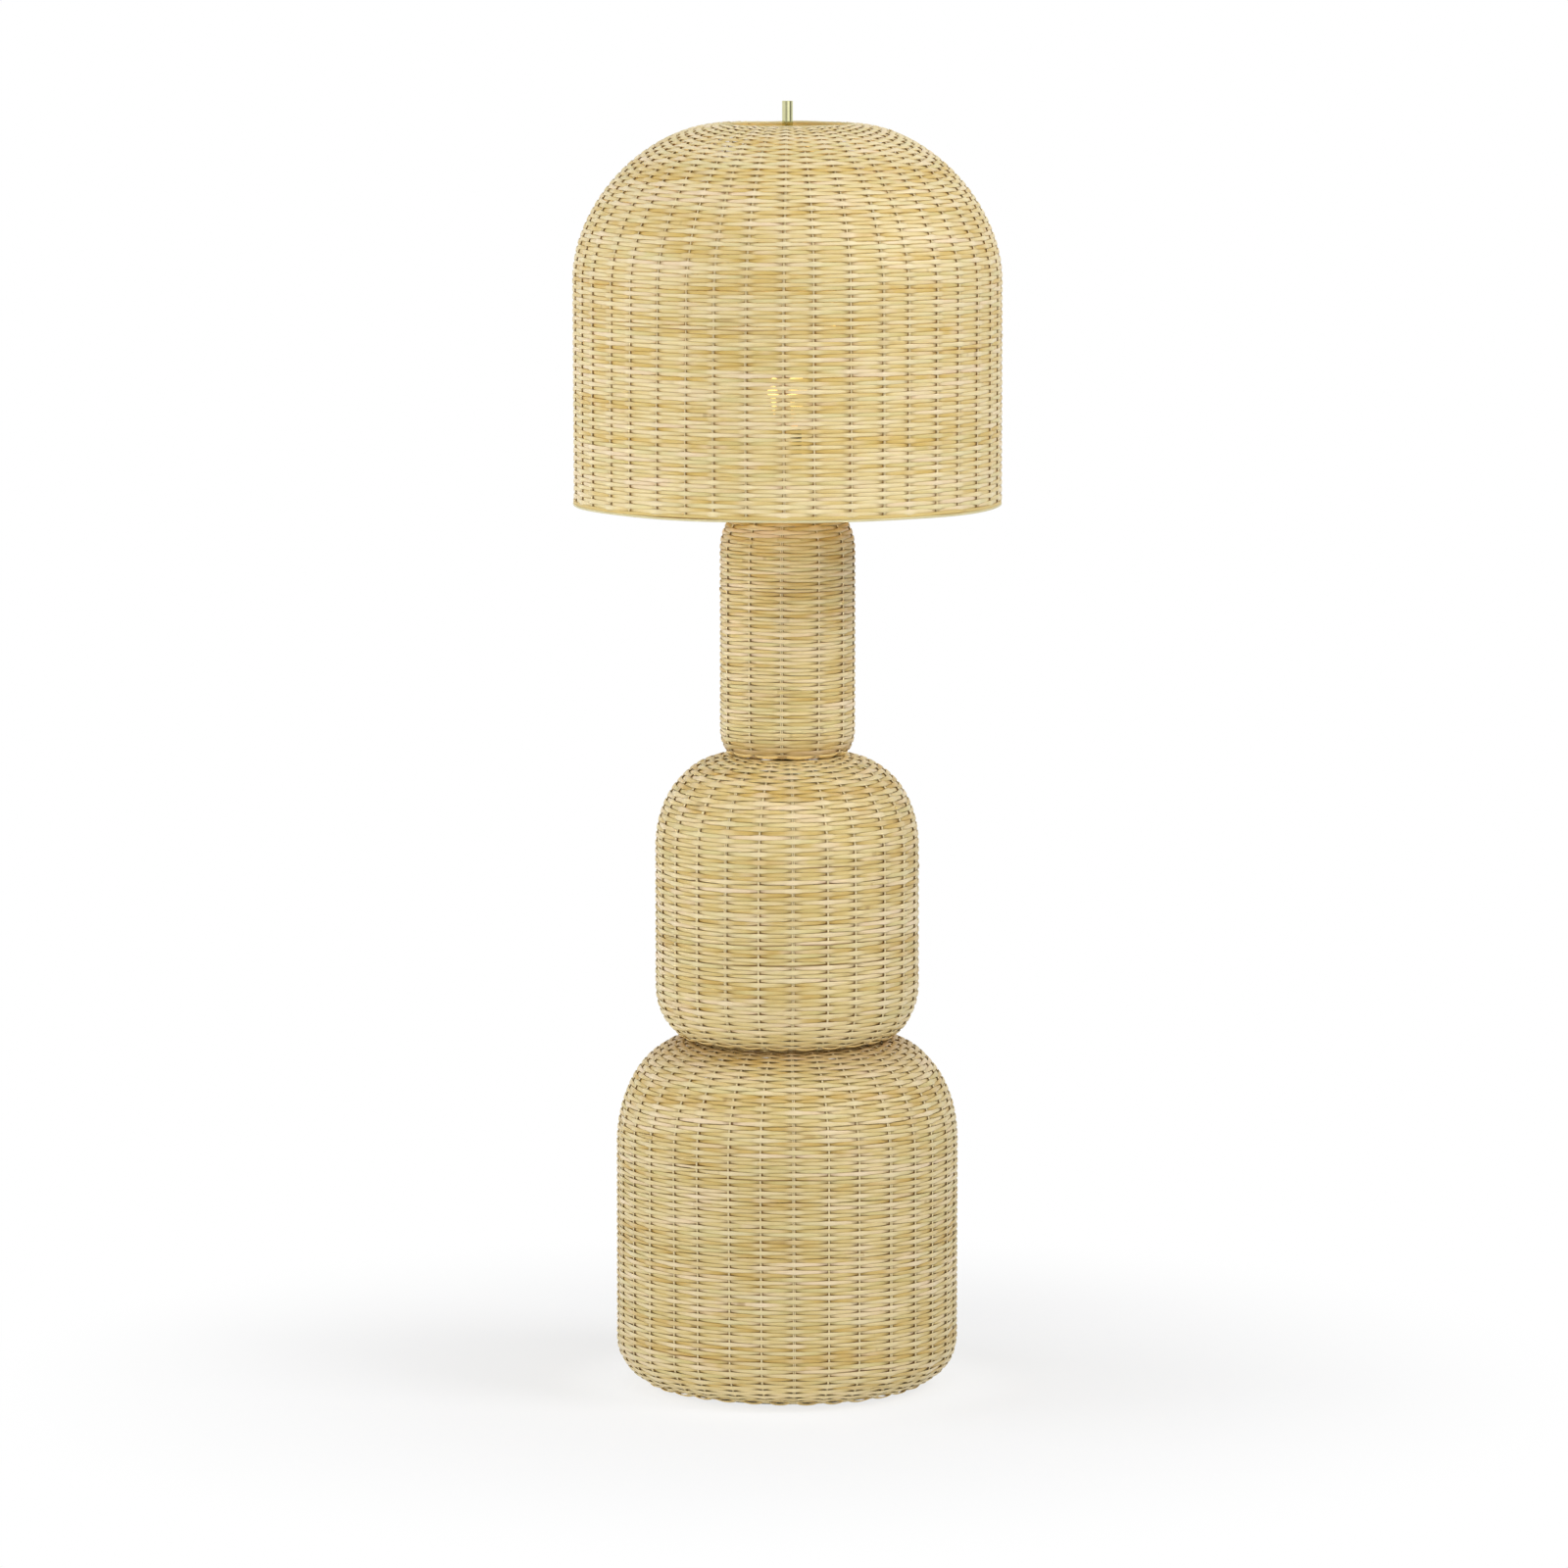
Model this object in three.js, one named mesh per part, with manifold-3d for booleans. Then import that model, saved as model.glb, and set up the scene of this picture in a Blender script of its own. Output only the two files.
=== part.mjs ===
// Rattan floor lamp: three woven tiers stacked on a steel tube, with a woven dome shade on a harp.
// Millimetres, +Z up. The origin is on the floor, at the middle of the base.
import * as THREE from 'three';
import { mergeVertices } from 'three/addons/utils/BufferGeometryUtils.js';
import Module from 'manifold-3d';

const wasm = await Module();
wasm.setup();

// Overall sizes
const overall_height = 1516.4;
const shade_diameter = 502.9;

// Clearances
const seat_gap = 0.3;
const slide_gap = 0.4;
const cage_gap = 0.6;
const cut_overrun = 2;

// Woven walls and the welded wire cages inside them
const weave_wall = 5;
const wire_radius = 2;
const hub_radius = 17;
const hub_thickness = 3;
const spoke_width = 8;
const spoke_thickness = 2.4;

// Base tier
const base_radius = 202.4;
const base_height = 412;
const base_foot_inset = 56;
const base_foot_rise = 52;
const base_crown_inset = 96;
const base_crown_drop = 127;
const base_crown_power = 2.1;

// Middle tier
const middle_radius = 155.6;
const middle_height = 335;
const middle_foot_inset = 42;
const middle_foot_rise = 62;
const middle_crown_inset = 92;
const middle_crown_drop = 110;
const middle_crown_power = 2.1;

// Neck tier
const neck_radius = 79.7;
const neck_height = 286;
const neck_foot_inset = 16;
const neck_foot_rise = 30;
const neck_crown_inset = 26;
const neck_crown_drop = 45;
const neck_crown_power = 2;

// Shade
const shade_height = 445;
const shade_mouth_radius = 80;
const shade_crown_drop = 179;
const shade_crown_power = 1.8;
const rim_band_height = 6;
const rim_band_bevel = 1.5;

// Weighted foot
const felt_thickness = 2.2;
const felt_margin = 4;
const plate_thickness = 5.5;
const plate_edge_gap = 0.6;
const flange_radius = 32;
const flange_thickness = 4;
const flange_collar_wall = 4;
const flange_collar_height = 22;
const screw_radius = 2.5;
const screw_head_radius = 4.6;
const screw_head_height = 2.8;
const screw_depth = 3;

// Cord inlet at the back of the base
const bushing_level = 74;
const bushing_bore = 3.6;
const bushing_wall = 2;
const bushing_flange = 4;
const bushing_flange_thickness = 2.5;
const bushing_tail = 6;

// Central tube
const tube_radius = 9;
const tube_wall = 1.6;
const coupler_wall = 2.4;
const coupler_length = 36;

// Threaded stem, cap and nut on top of the neck
const cap_overlap = 6;
const cap_thickness = 1.5;
const cap_rise = 32;
const cap_flat_radius = 15;
const cap_power = 2;
const stem_radius = 4.85;
const stem_wall = 1.5;
const stem_depth = 24;
const reducer_length = 20;
const nut_radius = 9.5;
const nut_height = 5;

// Lampholder
const holder_radius = 18;
const holder_cap_wall = 1.2;
const holder_cap_height = 17;
const holder_hub_radius = 8;
const holder_hub_height = 5;
const holder_lap = 4;
const shell_wall = 0.9;
const liner_wall = 0.8;
const contact_wall = 0.6;
const shell_height = 46;
const block_height = 20;

// Rotary switch on the lampholder
const knob_radius = 5.5;
const knob_length = 13;
const knob_standoff = 3;
const spindle_radius = 1.8;
const spindle_seat = 3;

// Bulb
const bulb_cap_height = 25;
const bulb_contact_radius = 4;
const bulb_contact_height = 1.6;
const bulb_taper = 4;
const globe_radius = 23.5;
const globe_neck = 41;
const glass_wall = 1;

// Harp and its saddle
const saddle_reach = 29.5;
const saddle_width = 16;
const saddle_thickness = 2;
const saddle_arm_height = 11;
const saddle_post_height = 10;
const harp_wire_radius = 2.3;
const harp_half_width = 56;
const harp_straight = 26;
const sleeve_wall = 1.3;
const sleeve_length = 16;
const stud_collar_radius = 7;
const stud_collar_height = 8;
const stud_radius = 3.1;
const stud_length = 24;

// Finial and the spider that it clamps
const finial_radius = 6.35;
const finial_show = 26.4;
const finial_bevel = 0.5;
const finial_roof = 8;
const spider_hub_radius = 13;
const spider_arms = 3;
const hub_spokes = 3;
const flange_screws = 3;

// Facets and counts
const round_facets = 32;
const neck_facets = 24;
const hoop_facets = 16;
const small_facets = 12;
const screw_facets = 8;
const finial_facets = 16;
const nut_sides = 6;
const knob_grooves = 6;
const wire_facets = 4;
const crown_steps = 6;
const shade_steps = 8;
const foot_steps = 3;
const inner_crown_steps = 4;
const inner_foot_steps = 2;
const cap_steps = 3;
const globe_steps = 6;
const cage_ribs = 4;
const shade_ribs = 8;
const harp_steps = 34;
const harp_facets = 5;

// Finishes
const finishes = {
  rattan: { color: 0xd2b987, roughness: 0.55, metalness: 0 },
  shade_rattan: { color: 0xdcc592, roughness: 0.5, metalness: 0 },
  binding: { color: 0xe6d2a2, roughness: 0.5, metalness: 0 },
  wire: { color: 0xd8ccb0, roughness: 0.5, metalness: 0.3 },
  steel: { color: 0x8e8f92, roughness: 0.4, metalness: 1 },
  polished: { color: 0xd6d2c4, roughness: 0.12, metalness: 1 },
  brass: { color: 0xb8974f, roughness: 0.3, metalness: 1 },
  iron: { color: 0x35363a, roughness: 0.6, metalness: 0.6 },
  felt: { color: 0x2e2f30, roughness: 0.95, metalness: 0 },
  dark_plastic: { color: 0x23211f, roughness: 0.45, metalness: 0 },
  card: { color: 0xb9a888, roughness: 0.9, metalness: 0 },
  glass: { color: 0xfff1cf, roughness: 0.25, metalness: 0 },
};

// Levels worked out from the floor up
const plate_level = felt_thickness + seat_gap;
const plate_top = plate_level + plate_thickness;
const cage_depth = weave_wall + cage_gap + wire_radius;
const base_foot = plate_top + seat_gap + wire_radius - cage_depth;
const base_crown = base_foot + base_height;
const middle_foot = base_crown + seat_gap;
const middle_crown = middle_foot + middle_height;
const neck_foot = middle_crown + seat_gap;
const neck_crown = neck_foot + neck_height;
const cap_rim_level = neck_crown + seat_gap;
const cap_top = cap_rim_level + cap_rise;
const nut_level = cap_top + seat_gap;
const saddle_level = nut_level + nut_height + seat_gap;
const holder_level = saddle_level + saddle_thickness + seat_gap;
const holder_cap_top = holder_level + holder_cap_height;
const post_level = saddle_level + saddle_arm_height;
const harp_foot = post_level + saddle_post_height + seat_gap;

// Levels worked out from the top down
const shade_crown = overall_height - finial_show;
const shade_rim = shade_crown - shade_height;
const spider_level = shade_crown - cage_depth - wire_radius - seat_gap - wire_radius;
const spider_hub_top = spider_level + hub_thickness / 2;
const stud_collar_top = spider_level - hub_thickness / 2 - seat_gap;
const harp_top = stud_collar_top - stud_collar_height / 2;
const finial_level = spider_hub_top + seat_gap;

const base_tier = {
  radius: base_radius,
  foot: base_foot,
  foot_inset: base_foot_inset,
  foot_rise: base_foot_rise,
  crown: base_crown,
  crown_inset: base_crown_inset,
  crown_drop: base_crown_drop,
  crown_power: base_crown_power,
};
const middle_tier = {
  radius: middle_radius,
  foot: middle_foot,
  foot_inset: middle_foot_inset,
  foot_rise: middle_foot_rise,
  crown: middle_crown,
  crown_inset: middle_crown_inset,
  crown_drop: middle_crown_drop,
  crown_power: middle_crown_power,
};
const neck_tier = {
  radius: neck_radius,
  foot: neck_foot,
  foot_inset: neck_foot_inset,
  foot_rise: neck_foot_rise,
  crown: neck_crown,
  crown_inset: neck_crown_inset,
  crown_drop: neck_crown_drop,
  crown_power: neck_crown_power,
};
const shade_tier = {
  radius: shade_diameter / 2,
  foot: shade_rim + rim_band_height + seat_gap,
  crown: shade_crown,
  crown_inset: shade_diameter / 2 - shade_mouth_radius,
  crown_drop: shade_crown_drop,
  crown_power: shade_crown_power,
};

const lamp = new THREE.Group();
const full_turn = 2 * Math.PI;

// Puts one finished piece on the lamp under its own name.
function add_piece(name, geometry, finish) {
  const mesh = new THREE.Mesh(geometry, new THREE.MeshStandardMaterial(finishes[finish]));
  mesh.name = name;
  lamp.add(mesh);
  return mesh;
}

// A closed mesh as a solid, with its doubled points merged and its empty faces left out.
function solid_from(geometry) {
  const bare = geometry.clone();
  bare.deleteAttribute('normal');
  bare.deleteAttribute('uv');
  const merged = mergeVertices(bare);
  const corners = merged.index.array;
  const kept = [];
  for (let i = 0; i < corners.length; i += 3) {
    const [a, b, c] = [corners[i], corners[i + 1], corners[i + 2]];
    if (a !== b && b !== c && c !== a) kept.push(a, b, c);
  }
  return new wasm.Manifold(new wasm.Mesh({
    numProp: 3,
    vertProperties: Float32Array.from(merged.attributes.position.array),
    triVerts: Uint32Array.from(kept),
  }));
}

function geometry_from(solid) {
  const mesh = solid.getMesh();
  const geometry = new THREE.BufferGeometry();
  const places = Float32Array.from(mesh.vertProperties);
  geometry.setAttribute('position', new THREE.BufferAttribute(places, 3));
  geometry.setIndex(new THREE.BufferAttribute(Uint32Array.from(mesh.triVerts), 1));
  geometry.computeVertexNormals();
  return geometry;
}

function join(geometries) {
  const [first, ...others] = geometries.map(solid_from);
  return geometry_from(others.reduce((sum, solid) => sum.add(solid), first));
}

function cut(geometry, tools) {
  const blades = tools.map(solid_from);
  return geometry_from(blades.reduce((rest, blade) => rest.subtract(blade), solid_from(geometry)));
}

// Turns an outline of radii and levels about the lamp's axis.
function turned(outline, facets) {
  return new THREE.LatheGeometry(outline, facets).rotateX(Math.PI / 2);
}

function closed(points) {
  return [...points, points[0].clone()];
}

function point(radius, level) {
  return new THREE.Vector2(radius, level);
}

// A ring of rectangular section, from one level up to another.
function ring(inner, outer, bottom, top, facets) {
  const outline = [point(inner, bottom), point(outer, bottom), point(outer, top), point(inner, top)];
  return turned(closed(outline), facets);
}

// A plain disc or post on the lamp's axis.
function disc(radius, bottom, top, facets) {
  return turned([point(0, bottom), point(radius, bottom), point(radius, top), point(0, top)], facets);
}

// One quarter of a superellipse, from the wall to the lip that lies above or below it,
// with each point moved square to the curve by a depth into the tier.
function corner(wall_radius, level, inset, rise, power, depth, steps) {
  const points = [];
  for (let i = 0; i <= steps; i += 1) {
    const turn = (Math.PI / 2) * (i / steps);
    const across = Math.max(Math.cos(turn), 0);
    const up = Math.sin(turn);
    const slope = point(across ** (2 - 2 / power) / inset, up ** (2 - 2 / power) / rise).normalize();
    const radius = wall_radius - inset + inset * across ** (2 / power);
    points.push(point(radius - depth * slope.x, level + rise * up ** (2 / power) - depth * slope.y));
  }
  return points;
}

// A tier's outline from its foot lip up to its crown lip, at a depth inside the woven surface.
function tier_outline(tier, depth, crown_count, foot_count) {
  const crown_level = tier.crown - tier.crown_drop;
  const { radius, crown_inset, crown_drop, crown_power } = tier;
  const crown = corner(radius, crown_level, crown_inset, crown_drop, crown_power, depth, crown_count);
  if (!tier.foot_rise) {
    return [point(radius - depth, tier.foot), ...crown];
  }
  const foot_level = tier.foot + tier.foot_rise;
  const foot = corner(radius, foot_level, tier.foot_inset, -tier.foot_rise, 2, depth, foot_count);
  return [...foot.reverse(), ...crown];
}

// The woven wall of a tier, open at its foot and its crown.
function woven_shell(tier, steps, facets) {
  const outside = tier_outline(tier, 0, steps, foot_steps);
  const inside = tier_outline(tier, weave_wall, inner_crown_steps, inner_foot_steps);
  return turned(closed([...outside, ...inside.reverse()]), facets);
}

// The points of a round wire's section.
function round_section(radius, facets) {
  return Array.from({ length: facets }, (_, i) => {
    const turn = (full_turn * i) / facets;
    return point(radius * Math.cos(turn), radius * Math.sin(turn));
  });
}

// A hoop of round wire, centred on a radius and a level.
function hoop(radius, level, facets) {
  const section = round_section(wire_radius, wire_facets);
  section.forEach((place) => place.add(point(radius, level)));
  return turned(closed(section), facets);
}

// A line through given points, which takes its steps on the points themselves.
class PointPath extends THREE.Curve {
  constructor(points) {
    super();
    this.points = points;
  }

  getPoint(share, target = new THREE.Vector3()) {
    const place = share * (this.points.length - 1);
    const index = Math.min(Math.floor(place), this.points.length - 2);
    return target.lerpVectors(this.points[index], this.points[index + 1], place - index);
  }

  getUtoTmapping(share) {
    return share;
  }
}

// Round wire swept along a path.
function wire(path, radius, steps, facets) {
  const section = new THREE.Shape(round_section(radius, facets));
  return new THREE.ExtrudeGeometry(section, { steps, extrudePath: path, bevelEnabled: false });
}

// Copies of a shape spread evenly about the lamp's axis, from a starting angle.
function spread(geometry, count, start) {
  return Array.from({ length: count }, (_, i) => geometry.clone().rotateZ(start + (full_turn * i) / count));
}

// The upright wires of a cage, which follow the woven wall from foot to crown.
function ribs(outline, count) {
  const path = new PointPath(outline.map((place) => new THREE.Vector3(place.x, 0, place.y)));
  const upright = wire(path, wire_radius, outline.length - 1, wire_facets);
  return spread(upright, count, full_turn / count / 2);
}

// A washer on the tube, held in the middle of a hoop by flat spokes.
function hub(hoop_radius, level, count, washer_radius, bore) {
  const low = level - hub_thickness / 2;
  const washer = ring(bore, washer_radius, low, low + hub_thickness, small_facets);
  const inner_end = (bore + washer_radius) / 2;
  const length = hoop_radius - inner_end;
  const spoke = new THREE.BoxGeometry(length, spoke_width, spoke_thickness);
  spoke.translate(inner_end + length / 2, 0, level);
  return [washer, ...spread(spoke, count, full_turn / 4)];
}

// The welded cage of a standing tier. Its hubs ride on the tube.
function tier_cage(tier, facets, { foot_hub, shoulder_hoop }) {
  const outline = tier_outline(tier, cage_depth, inner_crown_steps, inner_foot_steps);
  const foot = outline[0];
  const crown = outline[outline.length - 1];
  const shoulder = outline[inner_foot_steps + 1];
  const bore = tube_radius + seat_gap;
  const places = shoulder_hoop ? [foot, shoulder, crown] : [foot, crown];
  const parts = places.map((place) => hoop(place.x, place.y, facets));
  parts.push(...ribs(outline, cage_ribs), ...hub(crown.x, crown.y, hub_spokes, hub_radius, bore));
  if (foot_hub) parts.push(...hub(foot.x, foot.y, hub_spokes, hub_radius, bore));
  return join(parts);
}

// Level of the underside of the hub in a tier's crown.
function crown_hub_underside(tier) {
  return tier.crown - cage_depth - hub_thickness / 2;
}

function build_foot() {
  const plate_radius = base_radius - base_foot_inset - plate_edge_gap;
  add_piece('base_felt', disc(plate_radius - felt_margin, 0, felt_thickness, round_facets), 'felt');
  const flange_top = plate_top + seat_gap + flange_thickness;
  const collar_radius = tube_radius + seat_gap + flange_collar_wall;
  const screw_circle = (collar_radius + flange_radius) / 2;
  const hole_bottom = plate_top - screw_depth - seat_gap;
  const hole = disc(screw_radius + seat_gap, hole_bottom, flange_top + cut_overrun, small_facets);
  const holes = spread(hole.translate(screw_circle, 0, 0), flange_screws, 0);
  const plate = disc(plate_radius, plate_level, plate_top, round_facets);
  add_piece('base_plate', cut(plate, holes), 'iron');
  const flange = turned(closed([
    point(tube_radius + seat_gap, plate_top + seat_gap),
    point(flange_radius, plate_top + seat_gap),
    point(flange_radius, flange_top),
    point(collar_radius, flange_top),
    point(collar_radius, flange_top + flange_collar_height),
    point(tube_radius + seat_gap, flange_top + flange_collar_height),
  ]), small_facets);
  add_piece('tube_flange', cut(flange, holes), 'steel');
  const head = flange_top + seat_gap;
  const screw = turned([
    point(0, plate_top - screw_depth),
    point(screw_radius, plate_top - screw_depth),
    point(screw_radius, head),
    point(screw_head_radius, head),
    point(screw_head_radius, head + screw_head_height / 2),
    point(screw_head_radius / 2, head + screw_head_height),
    point(0, head + screw_head_height),
  ], screw_facets);
  spread(screw.translate(screw_circle, 0, 0), flange_screws, 0).forEach((copy, i) => {
    add_piece(`flange_screw_${i + 1}`, copy, 'steel');
  });
}

// A rubber grommet through the woven wall, low at the back.
function build_cord_inlet() {
  const sleeve_radius = bushing_bore + bushing_wall;
  const flange = base_radius + seat_gap;
  const outline = closed([
    point(bushing_bore, flange - weave_wall - bushing_tail),
    point(sleeve_radius, flange - weave_wall - bushing_tail),
    point(sleeve_radius, flange),
    point(sleeve_radius + bushing_flange, flange),
    point(sleeve_radius + bushing_flange, flange + bushing_flange_thickness / 2),
    point(sleeve_radius + bushing_flange / 2, flange + bushing_flange_thickness),
    point(bushing_bore, flange + bushing_flange_thickness),
  ]);
  const bushing = turned(outline, small_facets).rotateX(-Math.PI / 2).translate(0, 0, bushing_level);
  add_piece('cord_bushing', bushing, 'dark_plastic');
  const hole = disc(sleeve_radius + slide_gap, 0, base_radius + cut_overrun, small_facets);
  return hole.rotateX(-Math.PI / 2).translate(0, 0, bushing_level);
}

function build_tiers() {
  const base_cage = tier_cage(base_tier, hoop_facets, { foot_hub: false, shoulder_hoop: true });
  const middle_cage = tier_cage(middle_tier, hoop_facets, { foot_hub: true, shoulder_hoop: true });
  const neck_cage = tier_cage(neck_tier, neck_facets, { foot_hub: true, shoulder_hoop: false });
  const base_shell = cut(woven_shell(base_tier, crown_steps, round_facets), [build_cord_inlet()]);
  add_piece('base_frame', base_cage, 'wire');
  add_piece('base_weave', base_shell, 'rattan');
  add_piece('middle_frame', middle_cage, 'wire');
  add_piece('middle_weave', woven_shell(middle_tier, crown_steps, round_facets), 'rattan');
  add_piece('neck_frame', neck_cage, 'wire');
  add_piece('neck_weave', woven_shell(neck_tier, crown_steps, neck_facets), 'rattan');
}

// Three lengths of tube, joined end to end by couplers under the crown hubs.
function build_tube() {
  const bore = tube_radius - tube_wall;
  const coupler_bore = tube_radius + seat_gap;
  const coupler_tops = [base_tier, middle_tier].map((tier) => crown_hub_underside(tier) - seat_gap);
  const joints = coupler_tops.map((top) => top - coupler_length / 2);
  const top_end = cap_top - cap_thickness - seat_gap;
  const bottoms = [plate_top + seat_gap, joints[0] + seat_gap, joints[1] + seat_gap];
  const tops = [joints[0], joints[1], top_end];
  ['tube_lower', 'tube_middle', 'tube_upper'].forEach((name, i) => {
    add_piece(name, ring(bore, tube_radius, bottoms[i], tops[i], small_facets), 'steel');
  });
  ['coupler_lower', 'coupler_upper'].forEach((name, i) => {
    const bottom = coupler_tops[i] - coupler_length;
    const coupler = ring(coupler_bore, coupler_bore + coupler_wall, bottom, coupler_tops[i], small_facets);
    add_piece(name, coupler, 'steel');
  });
}

// The cap that closes the neck, the threaded stem through it and the nut that clamps the stack.
function build_stem() {
  const hole = stem_radius + seat_gap;
  const rim_radius = neck_radius - neck_crown_inset + cap_overlap;
  const dome = (depth) => corner(
    rim_radius, cap_rim_level, rim_radius - cap_flat_radius, cap_rise, cap_power, depth, cap_steps,
  );
  const cap = turned(closed([
    point(hole, cap_top - cap_thickness),
    ...dome(cap_thickness).reverse(),
    ...dome(0),
    point(hole, cap_top),
  ]), small_facets);
  add_piece('neck_cap', cap, 'brass');
  const tube_end = cap_top - cap_thickness - seat_gap;
  const reducer_radius = tube_radius - tube_wall - seat_gap;
  const reducer = ring(hole, reducer_radius, tube_end - reducer_length, tube_end, small_facets);
  add_piece('tube_reducer', reducer, 'brass');
  const stem_top = holder_level + holder_hub_height;
  const stem = ring(stem_radius - stem_wall, stem_radius, tube_end - stem_depth, stem_top, small_facets);
  add_piece('threaded_stem', stem, 'brass');
  const nut = disc(nut_radius, nut_level, nut_level + nut_height, nut_sides);
  const bore = disc(hole, nut_level - cut_overrun, nut_level + nut_height + cut_overrun, small_facets);
  add_piece('stem_nut', cut(nut, [bore]), 'brass');
}

// The lampholder, from its cap up: terminal block, screw shell, card liner and outer shell.
function build_lampholder() {
  const cap_inner = holder_radius - holder_cap_wall;
  const stem_hole = stem_radius + seat_gap;
  const hub_top = holder_level + holder_hub_height;
  const cap = turned(closed([
    point(stem_hole, holder_level),
    point(holder_hub_radius, holder_level),
    point(holder_hub_radius, hub_top),
    point(holder_radius, hub_top + holder_hub_height),
    point(holder_radius, holder_cap_top),
    point(cap_inner, holder_cap_top),
    point(cap_inner, hub_top + holder_hub_height + holder_cap_wall),
    point(stem_hole, hub_top + holder_cap_wall),
  ]), small_facets);
  add_piece('socket_cap', cap, 'brass');
  const shell_outer = cap_inner - seat_gap;
  const liner_outer = shell_outer - shell_wall - seat_gap;
  const block_radius = liner_outer - liner_wall - seat_gap;
  const shell_bottom = holder_cap_top - holder_lap;
  const shell_top = shell_bottom + shell_height;
  const block_top = shell_bottom + block_height;
  const knob_level = (holder_cap_top + block_top) / 2;
  const spindle_start = block_radius - spindle_seat;
  const spindle_end = holder_radius + cut_overrun;
  const spindle_hole = disc(spindle_radius + slide_gap, spindle_start, spindle_end, small_facets);
  spindle_hole.rotateX(Math.PI / 2).translate(0, 0, knob_level);
  const shell = ring(shell_outer - shell_wall, shell_outer, shell_bottom, shell_top, small_facets);
  add_piece('socket_shell', cut(shell, [spindle_hole]), 'brass');
  const lining_top = shell_top - shell_wall;
  const liner = ring(liner_outer - liner_wall, liner_outer, shell_bottom, lining_top, small_facets);
  add_piece('socket_liner', cut(liner, [spindle_hole]), 'card');
  const block_bottom = hub_top + holder_hub_height + holder_cap_wall + seat_gap;
  const block = disc(block_radius, block_bottom, block_top, small_facets);
  add_piece('socket_block', cut(block, [spindle_hole]), 'dark_plastic');
  const contact_bottom = block_top + seat_gap;
  const contact_bore = block_radius - contact_wall;
  const contact = ring(contact_bore, block_radius, contact_bottom, lining_top, small_facets);
  add_piece('socket_screw_shell', contact, 'brass');
  build_switch(knob_level, spindle_start + seat_gap);
  build_bulb(contact_bore - slide_gap, contact_bottom, shell_top);
}

// A grooved knob on a spindle that turns in the terminal block.
function build_switch(level, spindle_start) {
  const knob_start = holder_radius + knob_standoff;
  const knob_end = knob_start + knob_length;
  const knob = turned([
    point(0, spindle_start),
    point(spindle_radius, spindle_start),
    point(spindle_radius, knob_start),
    point(knob_radius, knob_start),
    point(knob_radius, knob_end - knob_radius / 2),
    point(knob_radius / 2, knob_end),
    point(0, knob_end),
  ], small_facets);
  const groove_radius = knob_radius / 4;
  const groove = disc(groove_radius, knob_start + knob_radius / 2, knob_end + cut_overrun, screw_facets);
  groove.translate(knob_radius + groove_radius / 2, 0, 0);
  const grip = cut(knob, spread(groove, knob_grooves, 0)).rotateX(Math.PI / 2).translate(0, 0, level);
  add_piece('switch_knob', grip, 'dark_plastic');
}

// The bulb: a screw cap with its contact, and a frosted globe that is open at the neck.
function build_bulb(cap_radius, level, cap_top_level) {
  const contact = level + seat_gap;
  const shoulder = contact + bulb_contact_height + bulb_taper;
  const cap_end = Math.max(contact + bulb_contact_height + bulb_cap_height, cap_top_level);
  add_piece('bulb_cap', turned([
    point(0, contact),
    point(bulb_contact_radius, contact),
    point(bulb_contact_radius, contact + bulb_contact_height),
    point(cap_radius, shoulder),
    point(cap_radius, cap_end),
    point(0, cap_end),
  ], small_facets), 'brass');
  const neck_level = cap_end + seat_gap;
  const centre = neck_level + globe_neck;
  const globe = (radius, neck, level_from) => {
    const points = [point(neck, level_from)];
    const start = -Math.PI / 5;
    for (let i = 0; i <= globe_steps; i += 1) {
      const turn = start + (Math.PI / 2 - start) * (i / globe_steps);
      points.push(point(i === globe_steps ? 0 : radius * Math.cos(turn), centre + radius * Math.sin(turn)));
    }
    return points;
  };
  const outside = globe(globe_radius, cap_radius, neck_level);
  const inside = globe(globe_radius - glass_wall, cap_radius - glass_wall, neck_level);
  add_piece('bulb_glass', turned([...inside.reverse(), ...outside], small_facets), 'glass');
}

// Path of the harp's wire: straight legs, wide shoulders and a round top.
function harp_path() {
  const rise = harp_top - harp_foot;
  const leg_top = harp_foot + harp_straight;
  const shoulder_share = 0.3;
  const flare_share = 0.1;
  const arch_share = 0.45;
  const shoulder_level = harp_foot + rise * shoulder_share;
  const bend = rise * flare_share;
  const arch_start = harp_top - (harp_top - shoulder_level) * arch_share;
  const place = (x, z) => new THREE.Vector3(x, 0, z);
  const path = new THREE.CurvePath();
  const leg = (side) => new THREE.LineCurve3(
    place(side * saddle_reach, harp_foot),
    place(side * saddle_reach, leg_top),
  );
  const flare = (side) => new THREE.CubicBezierCurve3(
    place(side * saddle_reach, leg_top),
    place(side * saddle_reach, leg_top + bend),
    place(side * harp_half_width, shoulder_level - bend),
    place(side * harp_half_width, shoulder_level),
  );
  const arch = (side) => new THREE.CubicBezierCurve3(
    place(side * harp_half_width, shoulder_level),
    place(side * harp_half_width, arch_start),
    place(side * harp_half_width, harp_top),
    place(0, harp_top),
  );
  const reversed = (curve) => (curve.isLineCurve3
    ? new THREE.LineCurve3(curve.v2, curve.v1)
    : new THREE.CubicBezierCurve3(curve.v3, curve.v2, curve.v1, curve.v0));
  path.add(leg(-1));
  path.add(flare(-1));
  path.add(arch(-1));
  path.add(reversed(arch(1)));
  path.add(reversed(flare(1)));
  path.add(reversed(leg(1)));
  return path;
}

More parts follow.
